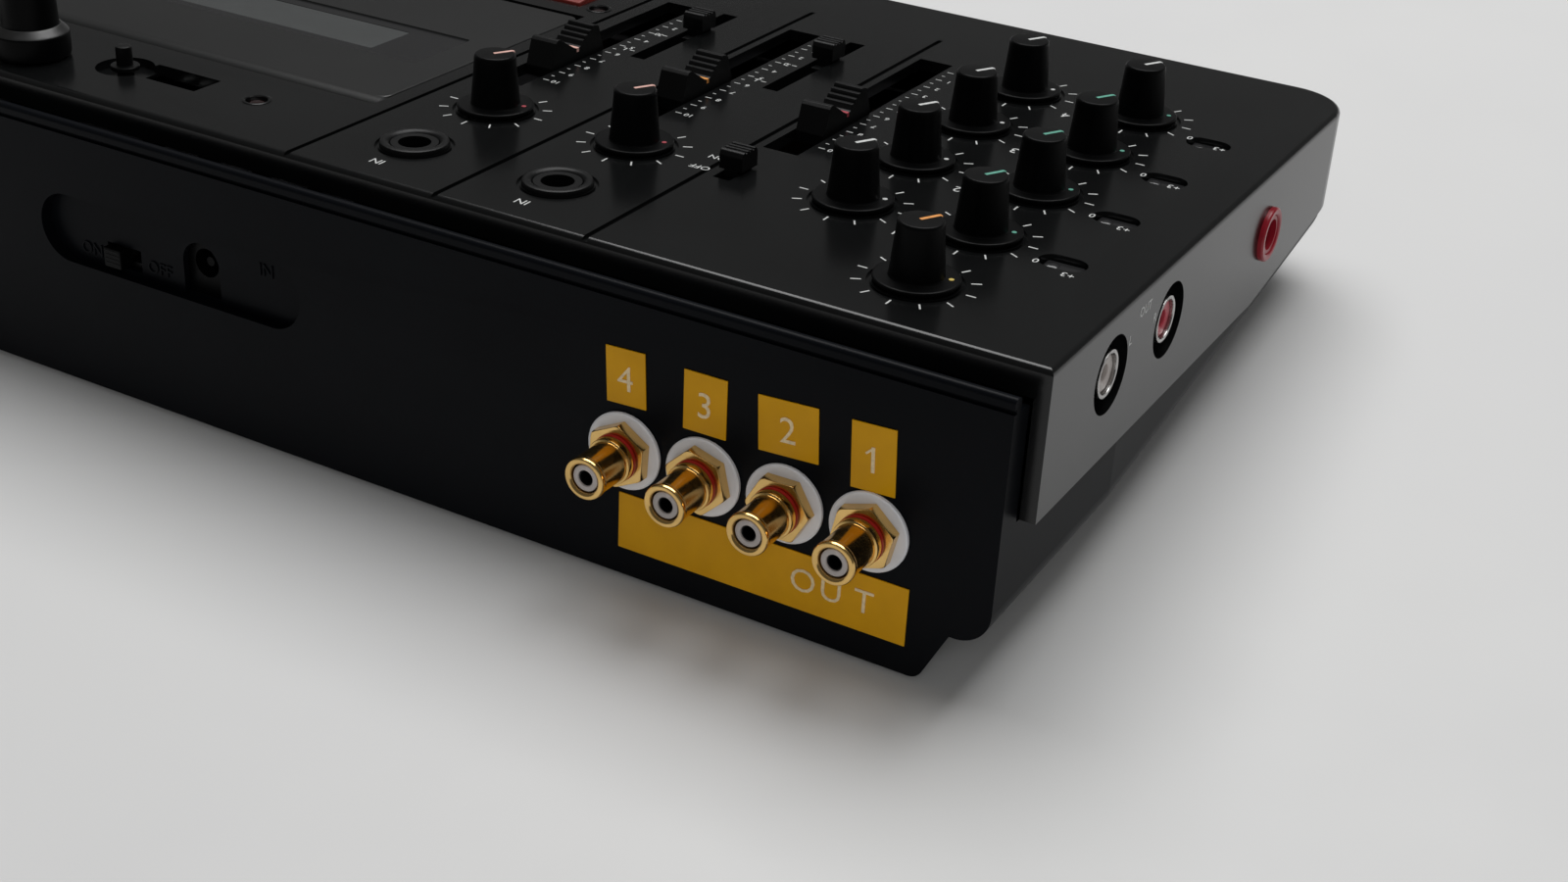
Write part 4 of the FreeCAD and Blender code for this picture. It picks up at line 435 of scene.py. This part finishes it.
bm = bmesh.new()
turned(bm, [(0, -14.5), (2.9, -14.5), (2.9, 0.4), (7.4, 0.4), (7.75, 0.6), (7.9, 1.1), (7.9, 5.1),
            (7.75, 5.5)], PITCH, steps=96)
turned(bm, [(7.75, 5.5), (7.5, 5.75), (6.4, 6.85), (6.1, 7.0)], PITCH, steps=96, mat=1)
turned(bm, [(6.1, 7.0), (5.95, 7.05), (5.9, 7.4), (5.78, 12), (5.65, 17.8), (5.4, 18.55),
            (4.9, 18.93), (0, 18.93)], PITCH, steps=96)
block(bm, (240.15, -17.0, 18.75), (241.05, -12.4, 19.0), 0.1, 2, 2)
piece("pitch_knob_cap", bm, [KNOB, BEVEL_RING, INK], "pitch_knob", ["pitch_knob"])


# Faders: two humps with a low line between them, ribs on the front hump

def fader(name, across, line):
    """A fader cap with its index line, on a flat steel stem."""
    bm = bmesh.new()
    half, width = 10.0, 6.6
    low, top, dish = -2.0, 6.0, 2.5
    ends = [(half, low), (half, 0.2), (8.2, 5.4), (7.5, top), (6.6, top), (1.1, dish + 0.2), (0.7, dish)]
    ribs = [(-0.7, dish), (-1.1, dish + 0.2)]
    for step in range(4):
        start = -1.5 - step * 1.35
        rise = dish + 0.5 + (step + 1) * 0.78
        ribs += [(start, rise - 0.45), (start - 0.25, rise),
                 (start - 1.1, rise + 0.05), (start - 1.2, rise - 0.2)]
    ribs += [(-7.3, top), (-8.2, 5.4), (-half, 0.2), (-half, low)]
    points = [(across - width / 2, FADER_REST + y, z) for y, z in ends + ribs]
    outline(bm, points, (1, 0, 0), width, 0.16, 2)
    block(bm, (across - 0.6, FADER_REST - 2, -13), (across + 0.6, FADER_REST + 2, -1.9), 0.1, 1, 2)
    over = width / 2 + 0.03
    block(bm, (across - over, FADER_REST - 0.45, dish - 0.9),
          (across + over, FADER_REST + 0.45, dish + 0.08), 0.06, 1, 1)
    piece(name + "_cap", bm, [CONTROL, line, STEEL], name, [name])


for (name, across), line in zip(FADERS, (RED_INK, ORANGE_INK, PINK_INK)):
    fader(name, across, line)


def small_switch(name, across, along, reach):
    """A ribbed slide cap on a tongue that covers its slot."""
    bm = bmesh.new()
    half, width = 3.0, 5.2
    front = [(half, 0.6), (half, 3.4), (2.6, 4.3), (2.2, 4.5), (1.7, 4.5), (1.5, 4.1), (1.1, 4.1),
             (0.9, 4.5), (0.3, 4.5), (0.15, 4.1)]
    points = front + [(-y, z) for y, z in reversed(front)]
    outline(bm, [(across - width / 2, along + y, z) for y, z in points], (1, 0, 0), width, 0.14, 2)
    block(bm, (across - 1.4, along - half, -1.6), (across + 1.4, along + half, 0.7), 0.15)
    block(bm, (across - 1.4, along - reach, -1.6), (across + 1.4, along + reach, -0.8), 0.1)
    block(bm, (across - 0.6, along - 2, -13), (across + 0.6, along + 2, -1.5), 0.1, 1, 1)
    piece(name + "_cap", bm, [CONTROL, STEEL], name, [name])


for number, across in enumerate(ASSIGN_SWITCHES, start=1):
    small_switch("assign_switch_%d" % number, across, -116.5, 5.4)
small_switch("noise_switch", 87.0, -46.0, 3.0)

bm = bmesh.new()
block(bm, (203.0, 1.25, -34.05), (207.6, 5.0, -29.75), 0.25, 3)
for step in range(4):
    rib = -33.2 + step * 0.9
    block(bm, (203.4, 4.7, rib), (207.2, 5.08, rib + 0.4), 0.05, 1)
block(bm, (204.3, -1.8, -32.9), (206.3, 1.4, -30.9), 0.1, 1, 1)
piece("power_switch_cap", bm, [KNOB, STEEL], "power_switch", ["power_switch"])


# Sockets

bm = bmesh.new()
for across in STRIPS:
    turned(bm, [(4.78, 0.02), (6.9, 0.02), (6.9, 0.55), (6.7, 0.95), (6.3, 1.1), (5.7, 1.08), (5.2, 0.85),
                (4.9, 0.5), (4.78, 0.3), (4.78, 0.02)], (across, KNOB_ROWS[0], 0))
piece("input_jack_rings", bm, [CONTROL], "case", ["input_jack_nuts"])

barrels, nuts, washers, bands, inserts = [bmesh.new() for _ in range(5)]
for number, across in enumerate(TAPE_JACKS):
    centre = (across, REAR, TAPE_UP)
    turned(washers, [(3.1, 0.02), (7.4, 0.02), (7.7, 0.2), (7.7, 0.75), (7.45, 0.98), (3.1, 0.98),
                     (3.1, 0.02)], centre, "y")
    turned(barrels, [(0, -12), (2.7, -12), (3.0, -11.7), (3.0, 4.1), (4.2, 4.1), (4.45, 4.2), (4.5, 4.4),
                     (4.5, 5.5), (4.42, 5.7), (4.05, 5.8), (3.98, 6.0), (3.98, 12.2), (4.1, 12.4),
                     (4.15, 12.8), (4.12, 13.25), (3.95, 13.5), (3.65, 13.6), (3.25, 13.57),
                     (3.0, 13.4), (2.88, 13.1), (2.85, 12.4), (2.85, 5.5), (0, 5.5)], centre, "y", 72)
    turned(bands, [(3.1, 3.42), (4.4, 3.42), (4.6, 3.5), (4.6, 4.0), (4.5, 4.1), (3.1, 4.1), (3.1, 3.42)],
           centre, "y")
    turned(inserts, [(1.5, 12.8), (1.6, 12.98), (1.8, 13.05), (2.35, 13.05), (2.55, 12.95), (2.6, 12.7),
                     (2.6, 6.5), (1.5, 6.5), (1.5, 12.8)], centre, "y", 48)
    turned(inserts, [(0, 6.6), (1.3, 6.6), (1.3, 12.6), (1.5, 12.7), (1.5, 6.4), (0, 6.4)],
           centre, "y", 32, 1)
    # No two nuts were left at the same angle.
    lean = math.radians(12 + 17 * number)
    place = (Matrix.Translation((across, REAR + 2.22, TAPE_UP))
             @ Matrix.Rotation(math.radians(90), 4, "X") @ Matrix.Rotation(lean, 4, "Z"))
    made = bmesh.ops.create_cone(nuts, cap_ends=True, segments=6, radius1=6.47, radius2=6.47, depth=2.4,
                                 matrix=place)
    front_corners = [vert for vert in made["verts"] if vert.co.y > REAR + 3]
    bmesh.ops.bevel(nuts, geom=front_corners, offset=0.9, segments=3, profile=0.5, affect="VERTICES",
                    material=-1)
edges = [edge for edge in nuts.edges if edge.calc_face_angle(0) > 0.5]
bmesh.ops.bevel(nuts, geom=edges, offset=0.12, segments=2, profile=0.5, affect="EDGES", material=-1)
piece("tape_jack_washers", washers, [NYLON], "case", ["tape_out_washers"])
piece("tape_jack_barrels", barrels, [GOLD], "case", ["tape_out_barrels"])
piece("tape_jack_bands", bands, [BAND_RED], "case", ["tape_out_bands"])
piece("tape_jack_inserts", inserts, [IVORY, CONTROL], "case", ["tape_out_inserts"])
piece("tape_jack_nuts", nuts, [GOLD], "case", ["tape_out_nuts"], 30)

sockets, plugs = bmesh.new(), bmesh.new()
for number, along in enumerate(LINE_OUTS):
    centre = (0, along, LINE_OUT_UP)
    block(sockets, (3.3, along - 7, -19), (12.3, along + 7, -5), 0.4, 2, 1)
    turned(sockets, [(3.72, 3.4), (3.72, 0.75), (3.85, 0.5), (4.25, 0.4), (4.5, 0.5), (4.6, 0.8), (4.6, 3.4),
                     (3.72, 3.4)], centre, "x")
    turned(plugs, [(1.65, 1.3), (1.9, 1.12), (3.3, 1.12), (3.6, 1.3), (3.65, 1.8), (3.65, 9), (1.65, 9),
                   (1.65, 1.3)], centre, "x", 48, number)
piece("line_out_rings", sockets, [NICKEL, CONTROL], "case", ["line_out_sockets"])
piece("line_out_plugs", plugs, [IVORY, PINK], "case", ["line_out_inserts"])

bm = bmesh.new()
turned(bm, [(4.08, 0.0), (5.7, 0.0), (5.7, -0.75), (5.6, -1.0), (5.35, -1.18), (4.6, -1.18), (4.25, -1.0),
            (4.08, -0.7), (4.08, 0.0)], REMOTE_JACK, "x")
piece("remote_jack_ring", bm, [RED_PLASTIC], "case", ["remote_jack_collar"])


# Embossed label tape

# Each short label: its figure, place across and up, width, height and lean in degrees.
tape, raised = bmesh.new(), bmesh.new()
LABELS = [("1", 28.1, -22.4, 8.6, 12.8, 2.8), ("2", 44.8, -21.9, 12.0, 10.7, 3.2),
          ("3", 61.65, -22.2, 8.9, 11.7, 0.5), ("4", 78.3, -21.7, 8.4, 11.1, 2.5)]
for figure, across, up, width, height, lean in LABELS:
    turn = on_rear(across, up, 0.15, math.radians(lean))
    bmesh.ops.create_cube(tape, size=1, matrix=turn @ Matrix.Diagonal((width, height, 0.28, 1)))
    lettering(raised, figure, 5.0, on_rear(across, up - 0.5, 0.3, math.radians(lean)), 0, 0.3, -0.02)
    if figure == "1":
        # The upstroke that the plain figure lacks.
        flag = turn @ Matrix.Translation((-0.75, 1.35, 0.15)) @ Matrix.Rotation(math.radians(40), 4, "Z")
        bmesh.ops.create_cube(raised, size=1, matrix=flag @ Matrix.Diagonal((1.7, 0.4, 0.3, 1)))
long_label = on_rear(49.3, -51.3, 0.15) @ Matrix.Diagonal((60, 11.7, 0.28, 1))
bmesh.ops.create_cube(tape, size=1, matrix=long_label)
bmesh.ops.bevel(tape, geom=list(tape.edges), offset=0.06, segments=1, profile=0.5, affect="EDGES",
                material=-1)
for figure, across in zip("OUT", (40.0, 34.3, 27.7)):
    lettering(raised, figure, 4.7, on_rear(across, -51.1, 0.3), 0, 0.3, -0.02)
piece("label_tapes", tape, [TAPE], "case", ["tape_labels"])
piece("label_figures", raised, [STRESS], "case")


# Print on the panel: ticks about the knobs, fader scales, plain figures

# Ticks in degrees, scales in millimetres, each from its first mark in even steps.
INK_UP = 0.03
FIRST_TICK, TICK_STEP, TICK_REACH = -240, 30, 10.6
FADER_TOP, FADER_STEP = -66.0, 5.9
ASSIGN_TOP, ASSIGN_STEP = -94, 13.5

ink = bmesh.new()
for across, along in ([(LEVEL_COLUMN, y) for y in KNOB_ROWS[1:]] + [(PAN_COLUMN, y) for y in KNOB_ROWS]
                      + [(x, KNOB_ROWS[1]) for x in STRIPS]):
    for tick in range(11):
        angle = math.radians(FIRST_TICK + TICK_STEP * tick)
        stroke(ink, (across - TICK_REACH * math.cos(angle), along - TICK_REACH * math.sin(angle), INK_UP),
               1.9, 0.32, angle)
for _, across in FADERS:
    for mark in range(11):
        along = FADER_TOP - mark * FADER_STEP
        beside = across - 5.6
        lettering(ink, str(10 - mark), 1.5, on_panel(beside - 2.8, along))
        stroke(ink, (beside - 0.3, along, INK_UP), 1.5, 0.22, 0)
        if mark < 10:
            stroke(ink, (beside, along - FADER_STEP / 2, INK_UP), 0.8, 0.2, 0)
for number, along in enumerate(KNOB_ROWS[1:], start=1):
    lettering(ink, str(number), 2.6, on_panel(47.6, along + 8.4))
    lettering(ink, "0", 1.8, on_panel(21.0, along + 4.95))
    lettering(ink, "+3", 1.8, on_panel(13.6, along + 7.65))
for across in STRIPS:
    lettering(ink, "IN", 2.1, on_panel(across, -7.2))
lettering(ink, "ON", 1.8, on_panel(93.2, -48.8))
lettering(ink, "OFF", 1.8, on_panel(93.4, -42.4))
for across in ASSIGN_SWITCHES:
    for mark, figure in enumerate("L0R"):
        along = ASSIGN_TOP - mark * ASSIGN_STEP
        stroke(ink, (across + 3.6, along, INK_UP), 1.2, 0.25, 0)
        lettering(ink, figure, 1.6, on_panel(across + 5.6, along))
lettering(ink, "L", 1.9, on_left_side(-35.8, -8.5, 0.02))
lettering(ink, "R", 1.9, on_left_side(-47.6, -8.5, 0.02))
lettering(ink, "OUT", 1.9, on_left_side(-41.9, -4.6, 0.02))
piece("panel_print", ink, [INK], "case")

moulded = bmesh.new()
for words, across, up in (("ON", 212.7, -32.3), ("OFF", 193.9, -32.1)):
    lettering(moulded, words, 2.7, on_rear(across, up, -2.5), 0, 0.35)
lettering(moulded, "IN", 2.7, on_rear(165.0, -24.8, -2.5), 0, 0.35)
piece("moulded_words", moulded, [SHELL], "case")


# Lid: a smoked field round a clear pane

LID = (166.0, 281.0, -106.4, -36.2)
LID_WELL = (175.3, 271.7, -77.6, -57.2)
LID_OPENING = (189.7, 257.3, -74.3, -60.5)
LID_HINGE = (166.0, -36.2, -3.8)


def rounded_rim(bm, sides, inset, up, radius, segments=6):
    """The rim of a flat rectangle with round corners, drawn inside its four sides."""
    left, right, low, high = sides[0] + inset, sides[1] - inset, sides[2] + inset, sides[3] - inset
    made = bmesh.ops.create_grid(bm, x_segments=1, y_segments=1, size=0.5)
    bmesh.ops.scale(bm, vec=(right - left, high - low, 1), verts=made["verts"])
    bmesh.ops.translate(bm, vec=((left + right) / 2, (low + high) / 2, up), verts=made["verts"])
    bmesh.ops.bevel(bm, geom=made["verts"], offset=radius, offset_type="OFFSET",
                    segments=segments, profile=0.5, affect="VERTICES", material=-1)
    face = next(face for face in bm.faces if len(face.verts) >= 4 * segments)
    rim = list(face.edges)
    bmesh.ops.delete(bm, geom=[face], context="FACES_ONLY")
    return rim


def joined(bm, rims, mats):
    """Bridge a row of rims, each pair with its own finish."""
    for first, second, mat in zip(rims, rims[1:], mats):
        made = bmesh.ops.bridge_loops(bm, edges=first + second)
        for face in made["faces"]:
            face.material_index = mat


bm = bmesh.new()
rims = [rounded_rim(bm, *rim) for rim in (
    (LID, 0.6, -2.4, 1.6), (LID, 0, -2.0, 2.2), (LID, 0, -0.25, 2.2), (LID, 0.07, -0.08, 2.15),
    (LID, 0.2, 0.0, 2.05), (LID_WELL, 0, 0.0, 0.8), (LID_WELL, 0.2, -0.35, 0.7),
    (LID_OPENING, 0, -0.4, 0.5), (LID_OPENING, 0, -2.4, 0.5))]
rims.append(rims[0])
joined(bm, rims, [0, 0, 0, 0, 0, 0, 1, 1, 0])
turned(bm, [(0, 0), (3.5, 0), (3.8, 0.3), (3.8, 114.7), (3.5, 115), (0, 115)], LID_HINGE, "x", 48)
turned(bm, [(0, -2.6), (0.7, -2.6), (0.7, 117.6), (0, 117.6)], LID_HINGE, "x", 16)
piece("lid_cover", bm, [LID_PLASTIC, LENS], "lid", ["cassette_lid"], 12)

bm = bmesh.new()
block(bm, (189.8, -74.2, -2.0), (257.2, -60.6, -0.42), 0.15)
piece("lid_pane", bm, [PANE], "lid", ["lid_window"])


# Transport keys with plain marks

KEYS = ["record_key", "play_key", "rewind_key", "forward_key", "stop_key", "pause_key"]
FIRST_KEY, KEY_PITCH, KEY_WIDTH = 171.6, 18.4, 17.4
KEY_REAR, KEY_END, KEY_LOW, KEY_HIGH = -114.4, -145.4, -7.5, 0.9
KEY_PIVOT = (-110.6, -5.2)
KEY_MARK = -139
# Arrows: shift, size and direction. Bars: shift, width and length.
ARROWS = {"play_key": [(0, 1.6, math.pi)], "rewind_key": [(1.1, 1.4, 0), (-1.1, 1.4, 0)],
          "forward_key": [(1.1, 1.4, math.pi), (-1.1, 1.4, math.pi)]}
BARS = {"stop_key": [(0, 2.3, 2.3)], "pause_key": [(-0.8, 0.7, 2.4), (0.8, 0.7, 2.4)]}

for number, name in enumerate(KEYS):
    left = FIRST_KEY + KEY_PITCH * number
    middle = left + KEY_WIDTH / 2
    bm = bmesh.new()
    points = [(left, along, up) for along, up in (
        (KEY_REAR, KEY_LOW), (KEY_REAR, KEY_HIGH - 0.3), (KEY_REAR - 3, KEY_HIGH),
        (KEY_REAR - 12, KEY_HIGH - 0.25), (KEY_REAR - 20, KEY_HIGH - 0.3), (KEY_END + 3, KEY_HIGH),
        (KEY_END + 0.8, KEY_HIGH - 0.4), (KEY_END, KEY_HIGH - 1.6), (KEY_END, KEY_LOW))]
    outline(bm, points, (1, 0, 0), KEY_WIDTH, 0.35, 3)
    block(bm, (left, KEY_REAR - 1, -7.4), (left + KEY_WIDTH, *KEY_PIVOT))
    turned(bm, [(1.1, 0), (2.2, 0), (2.2, KEY_WIDTH), (1.1, KEY_WIDTH), (1.1, 0)],
           (left, *KEY_PIVOT), "x", 32)
    if name == "record_key":
        disc(bm, (middle, KEY_MARK, KEY_HIGH), 1.3, 0.12, 1, 24)
    for shift, reach, direction in ARROWS.get(name, []):
        disc(bm, (middle + shift, KEY_MARK, KEY_HIGH + 0.03), reach, 0.06, 1, 3, direction)
    for shift, width, length in BARS.get(name, []):
        stroke(bm, (middle + shift, KEY_MARK, KEY_HIGH), width, length, 0, 0.12, 1)
    red = name == "record_key"
    piece(name + "_cap", bm, [RED_KEY if red else KEY, INK], name, [name])


# Counter

bm = bmesh.new()
turned(bm, [(0, -8.6), (1.7, -8.6), (1.7, -0.45), (2.9, -0.42), (3.0, -0.3), (3.0, 0.35), (2.85, 0.53),
            (1.75, 0.55), (1.7, 0.8), (1.7, 4.2), (1.55, 4.5), (1.2, 4.6), (0, 4.6)], COUNTER_RESET, steps=40)
piece("counter_reset_pin", bm, [CONTROL], "counter_reset_button", ["counter_reset_button"])

for number, across in enumerate(COUNTER_WHEELS, start=1):
    name = "counter_wheel_%d" % number
    centre = (across, *COUNTER_AXLE)
    bm = bmesh.new()
    turned(bm, [(1.1, -2.1), (4.7, -2.1), (5.2, -1.95), (5.2, 1.95), (4.7, 2.1), (1.1, 2.1), (1.1, -2.1)],
           centre, "x", 60)
    for figure in range(10):
        spoke = Matrix.Rotation(math.radians(-36 * figure), 4, "X")
        place = Matrix.Translation(centre) @ spoke @ Matrix.Translation((0, 0, 5.22))
        lettering(bm, str(figure), 2.5, place, 1, 0.06)
    piece(name + "_ring", bm, [CONTROL, INK], name, [name])


# Lights

bm = bmesh.new()
for along in METER_ROWS:
    block(bm, (14.5, along - 1.9, -19), (18.5, along + 0.5, -2.6), 0.2)
    block(bm, (12.6, along - 2.5, -3.0), (20.4, along + 1.6, -1.0), 0.6, 3)
    turned(bm, [(0, -1.4), (1.6, -1.4), (1.55, -1.0), (1.2, -0.75), (0.6, -0.62), (0, -0.6)],
           (18.5, along + 0.2, 0), steps=24)
piece("meter_lenses", bm, [LENS], "case", ["meter_leds"])
bm = bmesh.new()
for across, along in ROUND_LIGHTS:
    turned(bm, [(0, -17.5), (2.0, -17.5), (2.1, -2), (2.0, -1.0), (1.5, -0.5), (0.8, -0.33), (0, -0.3)],
           (across, along, 0), steps=32)
piece("round_lenses", bm, [RED_LENS], "case", ["indicator_leds"])

# Rims in the panel round the two lights
bm = bmesh.new()
for across, along in ROUND_LIGHTS:
    turned(bm, [(2.35, 0.0), (3.0, 0.0), (3.0, 0.12), (2.8, 0.2), (2.5, 0.16), (2.35, 0.0)],
           (across, along, 0.0), steps=40)
piece("light_rims", bm, [CASE], "case")

# Finishes of the nodes that stay
for name, mat in (
        ("top_shell", CASE), ("bottom_shell", SHELL), ("rubber_feet", RUBBER), ("shell_screws", STEEL),
        ("mixer_board", BOARD), ("control_pots", GREY_STEEL), ("fader_bodies", GREY_STEEL),
        ("slide_switch_bodies", GREY_STEEL), ("input_jack_bodies", CONTROL),
        ("remote_jack_body", RED_PLASTIC), ("dc_socket", KNOB), ("deck_frame", GREY_STEEL),
        ("supply_hub", CONTROL), ("take_up_hub", CONTROL), ("flywheel", BRASS), ("tape_head", STEEL),
        ("motor", STEEL)):
    dress(name, mat)


# Floor and light
floor_mat, tree, shader, place = material("paper_floor")
tint(tree, speckle(tree, place, 6, 5), shader.inputs["Base Color"],
     (0.60, 0.60, 0.60), (0.615, 0.615, 0.61))
spread(tree, speckle(tree, place, 30, 5), shader.inputs["Roughness"], 0.55, 0.65)
grain(tree, speckle(tree, place, 900), shader, 0.05)
bm = bmesh.new()
bmesh.ops.create_grid(bm, x_segments=1, y_segments=1, size=4)
mesh = bpy.data.meshes.new("floor")
bm.to_mesh(mesh)
bm.free()
mesh.materials.append(floor_mat)
floor = bpy.data.objects.new("floor", mesh)
bpy.context.scene.collection.objects.link(floor)

world = bpy.data.worlds.new("studio")
bpy.context.scene.world = world
world.use_nodes = True
backdrop = world.node_tree.nodes["Background"]
backdrop.inputs["Color"].default_value = (0.80, 0.80, 0.79, 1)
# Dim for every ray but the camera's own, which sees a pale wall behind the floor.
rays = world.node_tree.nodes.new("ShaderNodeLightPath")
level = world.node_tree.nodes.new("ShaderNodeMapRange")
level.inputs["To Min"].default_value = 0.12
level.inputs["To Max"].default_value = 0.75
world.node_tree.links.new(rays.outputs["Is Camera Ray"], level.inputs["Value"])
world.node_tree.links.new(level.outputs["Result"], backdrop.inputs["Strength"])


def soft_lamp(name, place, aim, size, power, mirrored=True):
    """A soft box in metres and watts, which shows in glossy faces when mirrored."""
    data = bpy.data.lights.new(name, "AREA")
    data.shape = "RECTANGLE"
    data.size, data.size_y = size
    data.energy = power
    lamp = bpy.data.objects.new(name, data)
    bpy.context.scene.collection.objects.link(lamp)
    lamp.location = place
    lamp.visible_glossy = mirrored
    lamp.rotation_mode = "QUATERNION"
    lamp.rotation_quaternion = (Vector(aim) - Vector(place)).to_track_quat("-Z", "Y")


soft_lamp("overhead", (0.1, -0.7, 1.6), (0, 0.1, 0), (1.7, 1.2), 36)
soft_lamp("fill", (-0.9, 1.3, 1.1), (0, 0, 0), (1.2, 1.0), 6, False)

# Camera at the photograph's place, in panel millimetres, its angles against the panel
CAMERA_PLACE = Vector((-110.15, 295.55, 151.71))
AZIMUTH, ELEVATION, ROLL = (math.radians(v) for v in (208.2458, 28.1629, 3.3523))
back = Vector((math.sin(AZIMUTH) * math.cos(ELEVATION), -math.cos(AZIMUTH) * math.cos(ELEVATION),
               math.sin(ELEVATION)))
side = (-back).cross(Vector((0, 0, 1))).normalized()
upward = side.cross(-back)
level_side = math.cos(ROLL) * side + math.sin(ROLL) * upward
level_up = -math.sin(ROLL) * side + math.cos(ROLL) * upward
turn = Matrix((level_side, level_up, back)).transposed().to_4x4()
data = bpy.data.cameras.new("camera")
data.sensor_width = 36
data.lens = 49.47
camera = bpy.data.objects.new("camera", data)
bpy.context.scene.collection.objects.link(camera)
camera.matrix_world = Matrix.Translation(PANEL @ CAMERA_PLACE) @ slope @ turn
data.clip_start, data.clip_end = 0.01, 50
bpy.context.scene.camera = camera
bpy.context.scene.view_settings.view_transform = "Standard"
